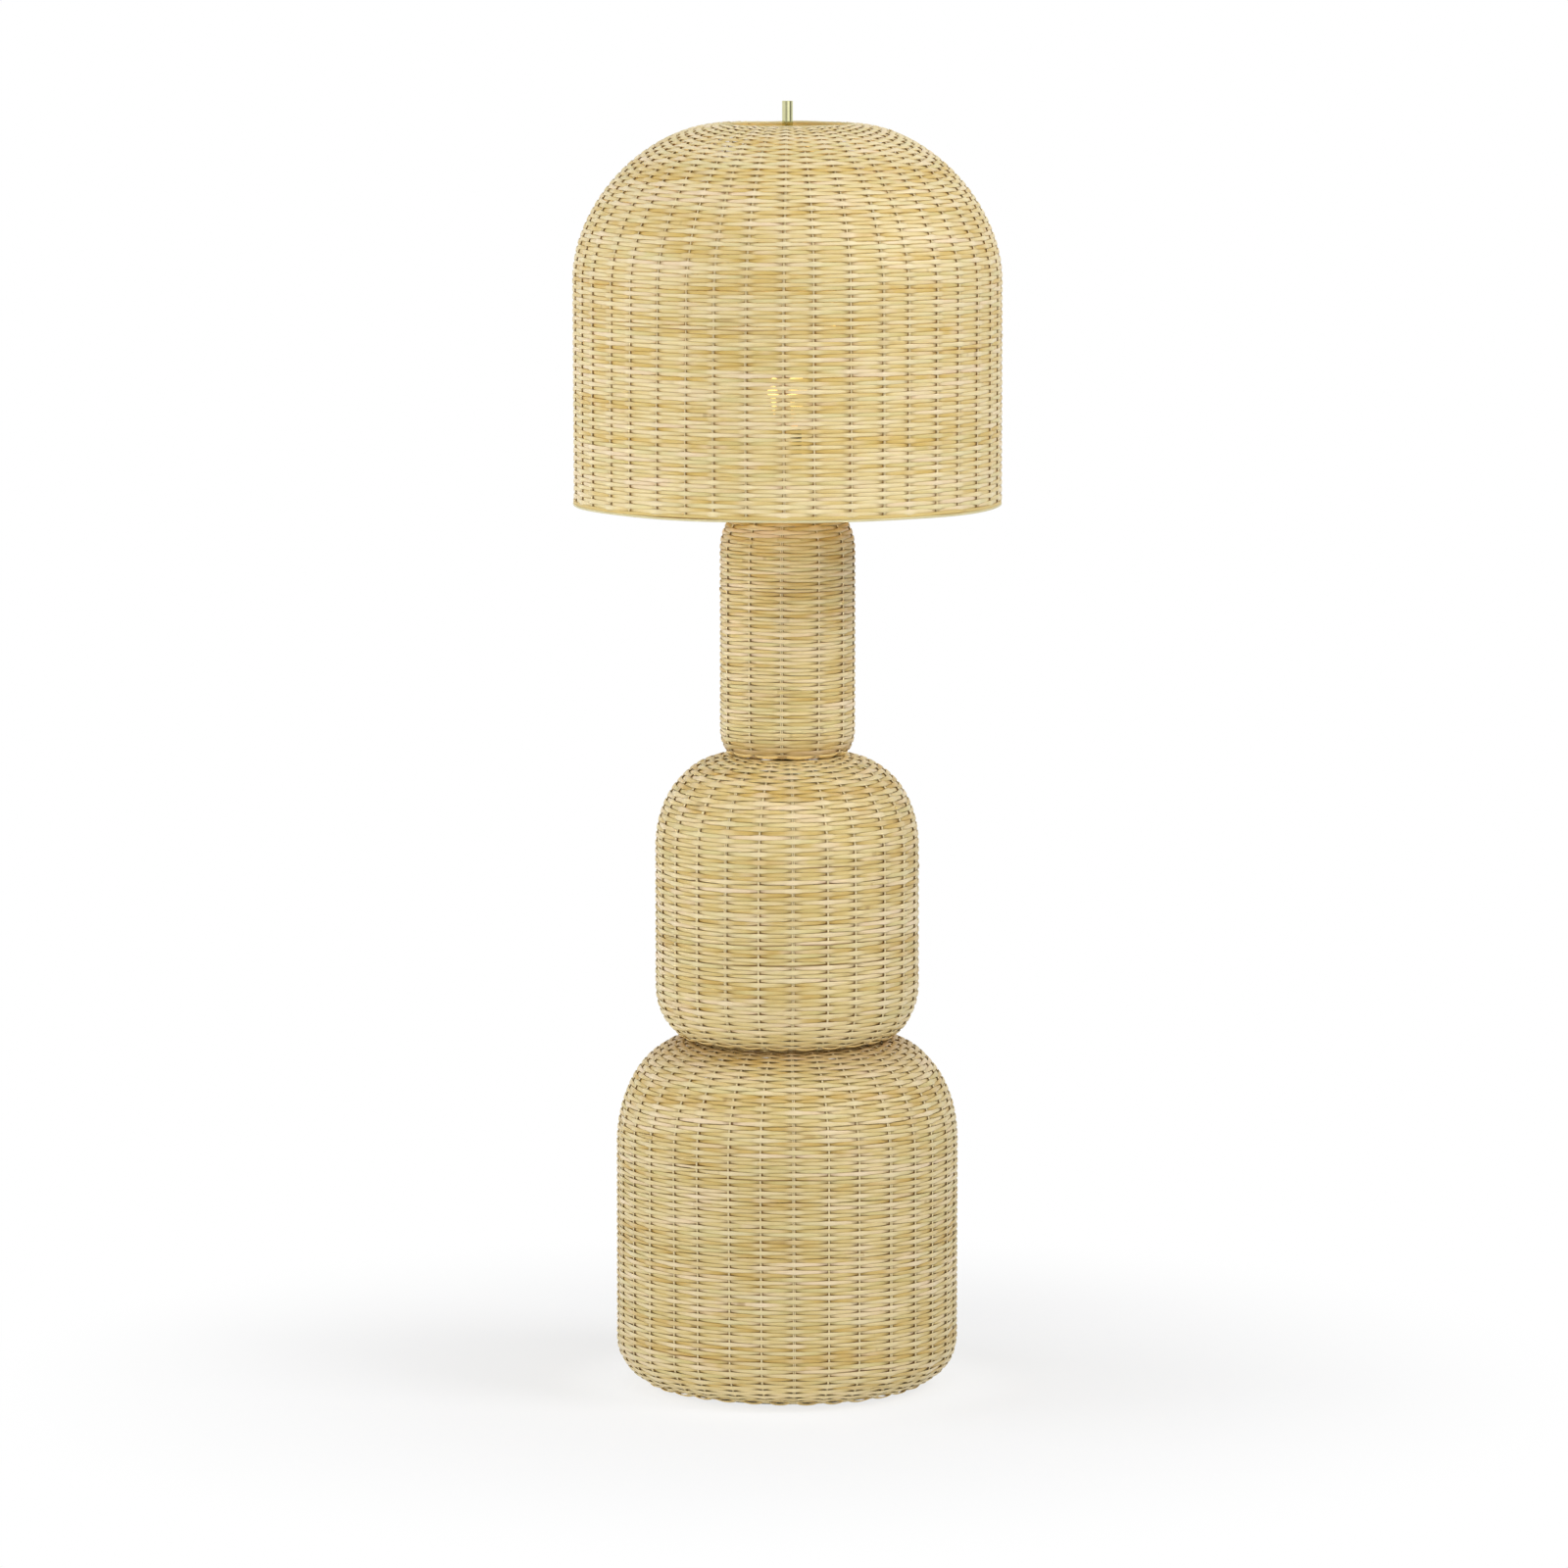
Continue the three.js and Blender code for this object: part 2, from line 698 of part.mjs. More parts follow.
function build_harp() {
  const loop = wire(harp_path(), harp_wire_radius, harp_steps, harp_facets);
  const collar_bottom = stud_collar_top - stud_collar_height;
  const collar = disc(stud_collar_radius, collar_bottom, stud_collar_top, small_facets);
  const stud_bottom = stud_collar_top - stud_collar_height / 2;
  const stud = disc(stud_radius, stud_bottom, stud_collar_top + stud_length, small_facets);
  add_piece('harp', join([loop, collar, stud]), 'brass');
  const bore = harp_wire_radius + slide_gap;
  const sleeve_bottom = harp_foot - sleeve_length / 2;
  const sleeve = ring(bore, bore + sleeve_wall, sleeve_bottom, sleeve_bottom + sleeve_length, small_facets);
  add_piece('harp_sleeve_left', sleeve.clone().translate(-saddle_reach, 0, 0), 'brass');
  add_piece('harp_sleeve_right', sleeve.translate(saddle_reach, 0, 0), 'brass');
}

// The strap under the lampholder, bent up at both ends, with the posts that hold the harp.
function build_saddle() {
  const outer = saddle_reach + saddle_thickness / 2;
  const inner = saddle_reach - saddle_thickness / 2;
  const outline = new THREE.Shape([
    point(-outer, 0),
    point(outer, 0),
    point(outer, saddle_arm_height),
    point(inner, saddle_arm_height),
    point(inner, saddle_thickness),
    point(-inner, saddle_thickness),
    point(-inner, saddle_arm_height),
    point(-outer, saddle_arm_height),
  ]);
  const strap = new THREE.ExtrudeGeometry(outline, { depth: saddle_width, bevelEnabled: false });
  strap.rotateX(Math.PI / 2).translate(0, saddle_width / 2, saddle_level);
  const post_top = harp_foot - seat_gap;
  const post = disc(harp_wire_radius, post_level - saddle_thickness, post_top, small_facets);
  const posts = [-1, 1].map((side) => post.clone().translate(side * saddle_reach, 0, 0));
  const hole_top = saddle_level + saddle_thickness + cut_overrun;
  const hole = disc(stem_radius + seat_gap, saddle_level - cut_overrun, hole_top, small_facets);
  add_piece('harp_saddle', cut(join([strap, ...posts]), [hole]), 'brass');
}

// The shade: cage, spider, woven dome and the split-cane band round its rim.
function build_shade() {
  add_piece('shade_weave', woven_shell(shade_tier, shade_steps, round_facets), 'shade_rattan');
  const radius = shade_diameter / 2;
  const inner = radius - weave_wall;
  const band_top = shade_rim + rim_band_height;
  add_piece('shade_rim_band', turned(closed([
    point(inner, shade_rim),
    point(radius - rim_band_bevel, shade_rim),
    point(radius, shade_rim + rim_band_bevel),
    point(radius, band_top),
    point(inner, band_top),
  ]), round_facets), 'binding');
  const cage = { ...shade_tier, foot: shade_rim + wire_radius };
  const outline = tier_outline(cage, cage_depth, inner_crown_steps, 0);
  const crown = outline[outline.length - 1];
  const hoops = [outline[0], crown].map((place) => hoop(place.x, place.y, round_facets));
  add_piece('shade_frame', join([...hoops, ...ribs(outline, shade_ribs)]), 'wire');
  const stud_hole = stud_radius + slide_gap;
  const spider = hub(crown.x, spider_level, spider_arms, spider_hub_radius, stud_hole);
  add_piece('shade_spider', join([hoop(crown.x, spider_level, round_facets), ...spider]), 'wire');
}

// The polished rod that screws down on the harp's stud.
function build_finial() {
  const bore = stud_radius + slide_gap;
  const roof = overall_height - finial_roof;
  add_piece('finial', turned([
    point(0, roof),
    point(bore, roof),
    point(bore, finial_level),
    point(finial_radius, finial_level),
    point(finial_radius, overall_height - finial_bevel),
    point(finial_radius - finial_bevel, overall_height),
    point(0, overall_height),
  ], finial_facets), 'polished');
}

build_foot();
build_tiers();
build_tube();
build_stem();
build_saddle();
build_lampholder();
build_harp();
build_shade();
build_finial();

export default lamp;
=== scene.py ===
import math

import bpy
import numpy as np
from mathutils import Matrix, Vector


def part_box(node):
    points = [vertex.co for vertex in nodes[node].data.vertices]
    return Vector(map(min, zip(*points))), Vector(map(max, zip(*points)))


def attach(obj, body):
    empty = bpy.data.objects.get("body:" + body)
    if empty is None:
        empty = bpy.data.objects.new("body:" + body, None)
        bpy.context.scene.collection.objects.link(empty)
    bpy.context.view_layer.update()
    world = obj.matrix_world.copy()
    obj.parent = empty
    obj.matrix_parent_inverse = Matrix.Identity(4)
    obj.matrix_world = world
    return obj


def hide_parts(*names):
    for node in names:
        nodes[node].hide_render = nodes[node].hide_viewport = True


# Rattan floor lamp: three woven drums stacked on a tube, under a woven dome shade. Metres, +Z up.
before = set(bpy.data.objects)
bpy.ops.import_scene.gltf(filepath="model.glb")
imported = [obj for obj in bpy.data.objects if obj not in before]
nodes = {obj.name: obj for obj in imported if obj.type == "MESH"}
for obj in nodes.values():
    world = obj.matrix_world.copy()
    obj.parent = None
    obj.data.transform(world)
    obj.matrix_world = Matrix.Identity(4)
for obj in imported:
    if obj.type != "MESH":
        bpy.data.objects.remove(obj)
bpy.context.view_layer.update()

FULL_TURN = 2 * math.pi
FRONT = 1.5 * math.pi

# Sizes shared by all the weaving. Its middle lies one weave depth inside a tier's outline.
STRIP_THICKNESS = 0.0009
STAKE_HALF_DEPTH = 0.0012
WEAVE_SWING = STAKE_HALF_DEPTH + STRIP_THICKNESS / 2
WEAVE_DEPTH = WEAVE_SWING + STRIP_THICKNESS / 2

# A tier's upright line: the power of its foot's round, the points of a round, its reach past each lip,
# and the distance at which two points are one
FOOT_POWER = 2
CURVE_STEPS = 160
LIP_REACH = 0.012
SAME_PLACE = 1e-7

# A strip's widths as shares of the row pitch: between stakes, and what is added over or behind a stake, on
# an upright wall and on a level one
WIDTH_SHARE = 1.02
SPREAD_OVER_STAKE = (0.24, 0.50)
SPREAD_BEHIND_STAKE = (0.46, 0.75)

# The shares of its swing at which a strip starts to spread and is at its widest
SPREAD_SHARES = (0.15, 0.9)

# The lowest rows are beaten tightest
LOWEST_ROWS = 3
SPREAD_AT_LOWEST = 0.14

# How much wider rows get towards the crown, as a share of the pitch on a level wall
PITCH_ON_SLOPE = 0.20

# Steps of a strip from a stake towards the gap's middle, as shares of the bend's reach, and the most that
# this is of the gap
BEND_STEP_SHARES = np.array([0.0, 0.3, 0.7, 1.3])
WIDEST_BEND = 0.30

# A strip's section: places across it and through it, from -1/2 to 1/2
STRIP_ACROSS = np.array([-0.5, -0.34, 0.34, 0.5, 0.34, -0.34])
STRIP_THROUGH = np.array([0.0, 0.5, 0.5, 0.0, -0.5, -0.5])

# The same places in the UV map, a little clear of the next rows
STRIP_V = 0.5 + np.append(STRIP_ACROSS, STRIP_ACROSS[0]) * 0.98

# What each kind of draw adds to a tier's seed
SEED_STEPS = {"stakes": 0, "rows": 7, "stake_pairs": 13, "looseness": 21, "strip_ends": 29}

# The handwork's slow waves: what each adds to a tier's seed, its size, the counts of its waves round the
# lamp, and the most that a wave turns along a metre
WALL_SWELL = dict(seed_step=50, size=0.00045, counts=(2, 3, 4), pace=14)
ROW_DRIFT = dict(seed_step=1, size=0.0009, counts=(1, 2, 3, 4), pace=6)
STAKE_DRIFT = dict(seed_step=3, size=0.004, counts=(1, 2, 3, 5), pace=16)
RING_WAVE = dict(seed_step=61, size=0.0003, counts=(3, 5, 8), pace=9)
BAND_WAVE = dict(seed_step=67, size=0.00035, counts=(2, 5, 9), pace=9)

# Unevenness: a stake's shift as a share of the gap, the deviations of a row's width and middle as shares
# of its pitch, the share of rows that are slack for a stretch, what they lack there and how short it is,
# and what a row takes of a loose place's share
STAKE_SHIFT = 0.08
WIDTH_DEVIATION = 0.035
MIDDLE_DEVIATION = 0.03
SLACK_ROWS = 0.22
SLACK_SHARES = (0.05, 0.13)
SLACK_FOCUS = 6
LOOSENESS_SHARES = (0.6, 1.05)


def smooth(value, low, high):
    """0 below low and 1 above high, smooth between."""
    share = np.clip((value - low) / (high - low), 0, 1)
    return share * share * (3 - 2 * share)


def even_turns(count, more=0):
    """Even turns round a circle, and some more past it."""
    return np.arange(count + more) / count * FULL_TURN


def draws(t, kind):
    """A tier's own source of random numbers for a kind of draw."""
    return np.random.default_rng(t["seed"] + SEED_STEPS[kind])


def tier(node, **shape):
    """A woven tier: its node's radius and levels, and the shape and weaving that are given. Inset, rise
    and drop are the reaches of its rounds, and power is how square the crown's is. Stake is half a
    stake's width, start the turn from the front to the nearest stake, pitch a row's height, and bend how
    far from a stake a strip dips, as a share of the gap. The painted shading by the foot or crown has a
    reach
    from the edge and a change: browner painted shade above 0, paler painted light below."""
    low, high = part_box(node)
    plain = {"loose": (), "seams": (), "foot_tone": (LIP_REACH, 0), "crown_tone": (LIP_REACH, 0)}
    return {"node": node, "radius": high.x, "foot": low.z, "crown": high.z, **plain, **shape}


def corner(radius, level, inset, rise, power):
    """A quarter superellipse, where (x / inset) and (z / rise) raised to the power add up to 1, and its
    unit normals."""
    turn = np.linspace(0, math.pi / 2, CURVE_STEPS)
    across = np.cos(turn).clip(0)
    up = np.sin(turn)
    places = np.stack([radius - inset + inset * across ** (2 / power), level + rise * up ** (2 / power)])
    slopes = np.stack([across ** (2 - 2 / power) / inset, up ** (2 - 2 / power) / rise])
    return places, slopes / np.linalg.norm(slopes, axis=0)


def turned_right(vectors):
    """Plane vectors turned by a quarter turn clockwise."""
    return np.stack([vectors[1], -vectors[0]])


def meridian(t):
    """The upright line down the middle of a tier's weave: length along it, radius, level and outward
    normal. It is the outline moved inwards by the weave's depth, and runs straight on past both lips."""
    level = t["crown"] - t["crown_drop"]
    places, outs = corner(t["radius"], level, t["crown_inset"], t["crown_drop"], t["power"])
    if t["foot_rise"]:
        level = t["foot"] + t["foot_rise"]
        foot, foot_outs = corner(t["radius"], level, t["foot_inset"], -t["foot_rise"], FOOT_POWER)
    else:
        foot, foot_outs = np.array([[t["radius"]], [t["foot"]]]), np.array([[1.0], [0.0]])
    places = np.hstack([foot[:, ::-1], places])
    outs = np.hstack([foot_outs[:, ::-1], outs])
    line = places - WEAVE_DEPTH * outs
    gaps = np.hypot(*np.diff(line))
    kept = np.concatenate([[True], gaps > SAME_PLACE])
    line, outs = line[:, kept], outs[:, kept]
    below = line[:, [0]] + turned_right(outs[:, [0]]) * LIP_REACH
    beyond = line[:, [-1]] - turned_right(outs[:, [-1]]) * LIP_REACH
    line = np.hstack([below, line, beyond])
    outs = np.hstack([outs[:, [0]], outs, outs[:, [-1]]])
    along = np.concatenate([[0], np.cumsum(np.hypot(*np.diff(line)))]) - LIP_REACH
    return np.vstack([along, line, outs])


def woven_length(line):
    """The length of a tier's upright line from lip to lip."""
    return line[0][-1] - LIP_REACH


def slow_wave(t, kind, turn, along):
    """Slow unevenness of handwork: a sum of sines of the turn and the length along the upright line."""
    draw = np.random.default_rng(t["seed"] + kind["seed_step"])
    waves = 0.0
    for count in kind["counts"]:
        tilt, start = draw.uniform(-kind["pace"], kind["pace"]), draw.uniform(0, FULL_TURN)
        waves = waves + np.sin(count * turn + tilt * along + start)
    return kind["size"] * waves / math.sqrt(len(kind["counts"]))


def stake_turns(t):
    """The stakes' turns, each a little off its even place, with the first again at the end."""
    shift = draws(t, "stakes").uniform(-STAKE_SHIFT, STAKE_SHIFT, t["stakes"])
    uneven = even_turns(t["stakes"]) + shift * FULL_TURN / t["stakes"]
    front = round(FRONT / FULL_TURN * t["stakes"])
    uneven = uneven + t["start"] - uneven[front] + FRONT
    return np.append(uneven, uneven[0] + FULL_TURN)


def real_turn(t, turn):
    """The turn on the lamp for a turn at which the stakes stand evenly, straight from stake to stake."""
    whole = np.floor(turn / FULL_TURN) * FULL_TURN
    return np.interp(turn - whole, even_turns(t["stakes"], 1), stake_turns(t)) + whole


def round_axis(radius, turn, level):
    """Points at a distance from the axis, a turn and a level."""
    parts = np.broadcast_arrays(radius * np.cos(turn), radius * np.sin(turn), level)
    return np.stack(parts, axis=-1)


def placed(t, line, turn, along, out):
    """Points of a tier at a turn and a length along its upright line, moved outwards."""
    radius, level, out_radius, out_level = (np.interp(along, line[0], line[i]) for i in (1, 2, 3, 4))
    out = out + slow_wave(t, WALL_SWELL, turn, along)
    return round_axis(radius + out_radius * out, turn, level + out_level * out)


def strand_walls(shape, u, v, closed):
    """The four-sided faces of tubes of strand x step x section: vertices' numbers and UV places."""
    strands, steps, sides = shape
    spans = steps if closed else steps - 1
    s, j, k = np.meshgrid(np.arange(strands), np.arange(spans), np.arange(sides), indexing="ij")
    ahead, beside = (j + 1) % steps, (k + 1) % sides

    def vertex(step, side):
        return (s * steps + step) * sides + side

    quads = np.stack([vertex(j, k), vertex(ahead, k), vertex(ahead, beside), vertex(j, beside)], axis=-1)
    u_quads = np.stack([u[s, j], u[s, j + 1], u[s, j + 1], u[s, j]], axis=-1)
    v_quads = np.stack([v[s, k], v[s, k], v[s, k + 1], v[s, k + 1]], axis=-1)
    return quads.reshape(-1), np.stack([u_quads.reshape(-1), v_quads.reshape(-1)], axis=-1)


def strand_caps(shape, u, v):
    """The faces that close the first and the last step of each tube: vertices' numbers and UV places."""
    strands, steps, sides = shape
    first = (np.arange(strands) * steps * sides)[:, None] + np.arange(sides)[None, :]
    last = first[:, ::-1] + (steps - 1) * sides
    u_caps = np.concatenate([np.repeat(u[:, 0], sides), np.repeat(u[:, steps - 1], sides)])
    v_caps = np.concatenate([v[:, :sides].reshape(-1), v[:, sides - 1::-1].reshape(-1)])
    return np.concatenate([first, last]).reshape(-1), np.stack([u_caps, v_caps], axis=-1)


def scene_object(name, data):
    """A new object, linked to the scene."""
    made = bpy.data.objects.new(name, data)
    bpy.context.scene.collection.objects.link(made)
    return made


def strands_mesh(name, points, u, v, closed, attributes=()):
    """A mesh of tubes, with points as strand x step x section x 3. A closed strand joins its last step to
    its first, and an open one is capped. u runs along it and v across it."""
    shape = points.shape[:3]
    loops, uv = strand_walls(shape, u, v, closed)
    starts = np.arange(len(loops) // 4) * 4
    if not closed:
        cap_loops, cap_uv = strand_caps(shape, u, v)
        sides = shape[2]
        starts = np.concatenate([starts, len(loops) + np.arange(len(cap_loops) // sides) * sides])
        loops = np.concatenate([loops, cap_loops])
        uv = np.concatenate([uv, cap_uv])
    mesh = bpy.data.meshes.new(name)
    mesh.vertices.add(math.prod(shape))
    mesh.vertices.foreach_set("co", points.astype(np.float32).reshape(-1))
    mesh.loops.add(len(loops))
    mesh.loops.foreach_set("vertex_index", loops.astype(np.int32))
    mesh.polygons.add(len(starts))
    mesh.polygons.foreach_set("loop_start", starts.astype(np.int32))
    mesh.polygons.foreach_set("use_smooth", np.ones(len(starts), bool))
    mesh.uv_layers.new(name="strip").data.foreach_set("uv", uv.astype(np.float32).reshape(-1))
    for label, values in attributes:
        layer = mesh.attributes.new(label, "FLOAT", "POINT")
        layer.data.foreach_set("value", np.broadcast_to(values, shape).astype(np.float32).reshape(-1))
    mesh.update(calc_edges=True)
    mesh.validate()
    return scene_object(name, mesh)


def bend_share(t, line, level):
    """The reach of a strip's bend as a share of the gap, which narrows towards the crown."""
    return np.minimum(t["bend"] * t["radius"] / np.interp(level, line[0], line[1]), WIDEST_BEND)


def gap_place(t, turn):
    """A turn as a count of gaps, and the nearest stake's number."""
    place = turn / FULL_TURN * t["stakes"]
    return place, np.round(place)


def weave_wave(t, turn, row, bend):
    """How far a row stands out: +1 over a stake, -1 behind the next, flat between. It is a bell curve of
    the distance to the nearest stake, and its sign changes from stake to stake and from row to row."""
    place, stake = gap_place(t, turn)
    side = 1 - 2 * np.mod(stake + row, 2)
    return side * np.exp(-(((place - stake) / bend) ** 2))


def stake_distance(t, line, turn, level):
    """The distance in metres from a point of a row to the middle of the nearest stake."""
    place, stake = gap_place(t, turn)
    return np.abs(place - stake) / t["stakes"] * FULL_TURN * np.interp(level, line[0], line[1])


def strip_turns(t, bend):
    """The turns of each row's steps: close together at a stake, where it bends, and wide between."""
    near = BEND_STEP_SHARES * bend
    shares = np.concatenate([near, np.full_like(bend, 0.5), 1 - near[:, :0:-1]], axis=1)
    places = np.arange(t["stakes"])[None, :, None] + shares[:, None, :]
    return (places.reshape(len(bend), -1) / t["stakes"] * FULL_TURN)[:, :, None]


def row_places(t, line):
    """The lengths along the upright line of the rows' middles, and the rows' pitches. A row gets wider
    where the wall slopes, so each takes the same share of the sum of (1 / its pitch)."""
    along = np.linspace(0, woven_length(line), CURVE_STEPS)
    density = 1 / (1 + PITCH_ON_SLOPE * np.abs(np.interp(along, line[0], line[4])))
    count = np.concatenate([[0], np.cumsum((density[1:] + density[:-1]) / 2 * np.diff(along))])
    rows = int(round(count[-1] / t["pitch"]))
    edges = np.interp(np.linspace(0, count[-1], rows + 1), count, along)
    return (edges[1:] + edges[:-1]) / 2, np.diff(edges)


def row_unevenness(t, rows):
    """What a row's width and middle gain, as shares of its pitch, and its slack's turn and size."""
    draw = draws(t, "rows")
    width_gain = draw.normal(0, WIDTH_DEVIATION, rows)
    middle_gain = draw.normal(0, MIDDLE_DEVIATION, rows)
    slack_turn = draw.uniform(0, FULL_TURN, rows)
    has_slack = draw.random(rows) < SLACK_ROWS
    slack_size = np.where(has_slack, draw.uniform(*SLACK_SHARES, rows), 0)
    return width_gain, middle_gain, slack_turn, slack_size


def looseness(t, turn, level, row, rows):
    """The share of its width that a strip lacks near loose places, each a bell in the turn and in the
    length along the line, uneven from row to row."""
    uneven = draws(t, "looseness").uniform(*LOOSENESS_SHARES, rows)
    lack = 0.0
    for place in t["loose"]:
        round_it = (turn - place["turn"]) / place["turn_reach"]
        up_it = (level - place["along"]) / place["along_reach"]
        lack = lack + place["share"] * uneven[row] * np.exp(-(round_it**2) - up_it**2)
    return lack


def seam_share(t, turn, level, pitch):
    """How open the joint under a row is, from 0 to 1: a bell in the turn, on a seam's own row."""
    share = 0.0
    for place in t["seams"]:
        on_row = np.abs(level - place["along"]) < pitch / 2
        share = share + on_row * np.exp(-(((turn - place["turn"]) / place["turn_reach"]) ** 2))
    return np.clip(share, 0, 1)


def painted_edge_shading(t, line, level):
    """Painted shade and light towards a tier's foot and crown: browner painted shade above 0 and paler
    painted light below. Each has a reach along the upright line."""
    foot_reach, foot_change = t["foot_tone"]
    crown_reach, crown_change = t["crown_tone"]
    near_foot = 1 - smooth(level, 0, foot_reach)
    near_crown = 1 - smooth(woven_length(line) - level, 0, crown_reach)
    return foot_change * near_foot + crown_change * near_crown


def woven_rows(name, t, line, first, last):
    """Rows of flat strip round a tier. A row's middle runs at a steady length along the upright line and
    swings out and in past the stakes. It is about as wide as the row pitch and spreads where it passes a
    stake. A few rows are slack for a stretch."""
    middles, pitches = row_places(t, line)
    rows = len(middles)
    row = np.arange(first, last)[:, None, None]
    level, pitch = middles[row], pitches[row]
    bend = bend_share(t, line, level)
    turn = strip_turns(t, bend[:, :, 0])
    wave = weave_wave(t, turn, row, bend)
    width_gain, middle_gain, slack_turn, slack_size = (values[row] for values in row_unevenness(t, rows))
    slack = slack_size * np.exp(SLACK_FOCUS * (np.cos(turn - slack_turn) - 1))
    slope = np.abs(np.interp(level, line[0], line[4]))
    spread = np.interp(slope, (0, 1), SPREAD_OVER_STAKE) * smooth(wave, *SPREAD_SHARES)
    spread = spread + np.interp(slope, (0, 1), SPREAD_BEHIND_STAKE) * smooth(-wave, *SPREAD_SHARES)
    tight = np.where(row < LOWEST_ROWS, SPREAD_AT_LOWEST, width_gain - slack)
    width = pitch * (WIDTH_SHARE + spread + tight) * (1 - looseness(t, turn, level, row, rows))
    drift = slow_wave(t, ROW_DRIFT, turn, level) * np.sin(math.pi * level / line[0][-1])
    along = level + drift + middle_gain * pitch + STRIP_ACROSS * width
    out = WEAVE_SWING * wave + STRIP_THROUGH * STRIP_THICKNESS
    points = placed(t, line, real_turn(t, turn), along, out)
    u = np.append(turn[:, :, 0], np.full((last - first, 1), FULL_TURN), axis=1) * t["radius"]
    v = np.arange(first, last)[:, None] + STRIP_V
    attributes = [
        ("weave_out", wave),
        ("stake_distance", stake_distance(t, line, turn, level)),
        ("face_out", 2 * STRIP_THROUGH),
        ("seam", seam_share(t, turn, level, pitch)),
        ("painted_edge_shading", painted_edge_shading(t, line, level)),
    ]
    return strands_mesh(name, points, u, v, True, attributes)


# Some stakes are two thinner canes side by side, with half widths and places in shares of a single one's
# half width
PAIRED_SHARE = 0.35
TWIN_WIDTH_SHARE = 0.62
TWIN_SIDE_SHARE = 0.68
STAKE_STEPS = 70
STAKE_SIDES = 6
STAKE_END_GAP = 0.0005
STAKE_V = 0.01 + 0.98 * np.arange(STAKE_SIDES + 1) / STAKE_SIDES


def woven_stakes(name, t, line):
    """The stakes: oval canes up the meridian, just short of its lips, some of them in pairs."""
    turns = stake_turns(t)[:-1]
    paired = draws(t, "stake_pairs").random(t["stakes"]) < PAIRED_SHARE
    turns = np.concatenate([turns, turns[paired]])
    side = np.concatenate([np.where(paired, -1.0, 0.0), np.ones(paired.sum())])
    half_width = np.where(side == 0, t["stake"], TWIN_WIDTH_SHARE * t["stake"])[:, None, None]
    side = side[:, None, None] * TWIN_SIDE_SHARE * t["stake"]
    length = woven_length(line)
    along = np.linspace(STAKE_END_GAP, length - STAKE_END_GAP, STAKE_STEPS)[None, :, None]
    section = even_turns(STAKE_SIDES)[None, None, :]
    middle_radius = np.interp(along, line[0], line[1])
    turn = turns[:, None, None] + slow_wave(t, STAKE_DRIFT, turns[:, None, None], along)
    turn = turn + (side + half_width * np.cos(section)) / middle_radius
    points = placed(t, line, turn, along, STAKE_HALF_DEPTH * np.sin(section))
    u = np.broadcast_to(np.linspace(0, length, STAKE_STEPS), (len(turns), STAKE_STEPS))
    v = np.arange(len(turns))[:, None] + STAKE_V
    return strands_mesh(name, points, u, v, False)


# Loose strip ends: start and lengths as shares of the gap; width, taper and wandering as shares of the
# pitch; ride and thickness as shares of a strip's thickness
END_STEPS = 9
END_CLEAR_ROWS = 4
END_START = 0.12
END_LENGTH = 0.62
END_FIBRE = 0.6
END_WIDTH = 0.8
END_TAPER = 0.25
END_WANDER = 0.12
END_RIDE = 0.85
END_THICKNESS = 0.6
END_LIFTS = (0.0004, 0.0016)


def strip_ends(name, t, line, count, fixed=()):
    """Loose ends of strips: short flat pieces on a row, from over a stake to past the next gap's middle,
    where each lifts off by a parabola. Fixed ones are given by turn, length along the line and lift."""
    draw = draws(t, "strip_ends")
    middles, pitches = row_places(t, line)
    gap = FULL_TURN / t["stakes"]
    row = draw.integers(END_CLEAR_ROWS, len(middles) - END_CLEAR_ROWS, count)
    stake = draw.integers(0, t["stakes"], count)
    side = draw.choice([-1.0, 1.0], count)
    lift = draw.uniform(*END_LIFTS, count)
    for i, (turn, along, height) in enumerate(fixed):
        row[i] = np.searchsorted(middles, along)
        stake[i] = round(turn / gap)
        side[i] = 1.0
        lift[i] = height
    stake = stake + (stake + row) % 2

    def by_end(values):
        return np.asarray(values, float)[:, None, None]

    share = np.linspace(0, 1, END_STEPS)[None, :, None]
    turn = (by_end(stake) + by_end(side) * (END_LENGTH * share - END_START)) * gap
    middle, pitch = by_end(middles[row]), by_end(pitches[row])
    width = pitch * (END_WIDTH - END_TAPER * share)
    along = middle + STRIP_ACROSS * width + END_WANDER * pitch * by_end(side) * share
    wave = weave_wave(t, turn, by_end(row), bend_share(t, line, middle))
    rise = WEAVE_SWING * wave + END_RIDE * STRIP_THICKNESS
    out = rise + by_end(lift) * share**2 + STRIP_THROUGH * END_THICKNESS * STRIP_THICKNESS
    points = placed(t, line, real_turn(t, turn), along, out)
    points = np.where(by_end(side)[..., None] < 0, points[:, ::-1], points)
    length = END_FIBRE * gap * t["radius"]
    u = np.broadcast_to(np.linspace(0, length, END_STEPS + 1), (count, END_STEPS + 1))
    return strands_mesh(name, points, u, row[:, None] + STRIP_V, False)


# Rings of cane, each moved up and out from its edge
CROWN_CANE = dict(up=-0.0018, out=0.0020, half_height=0.0016, half_depth=0.0030, steps=120, sides=8)
MOUTH_CANE = dict(up=-0.0014, out=-0.0012, half_height=0.0014, half_depth=0.0013, steps=120, sides=10)
MOUTH_BINDING = dict(up=-0.0066, out=-0.0010, half_height=0.0048, half_depth=0.0006, steps=120, sides=10)
RIM_CANE = dict(up=0.0014, out=-0.0016, half_height=0.0014, half_depth=0.0014, steps=240, sides=10)


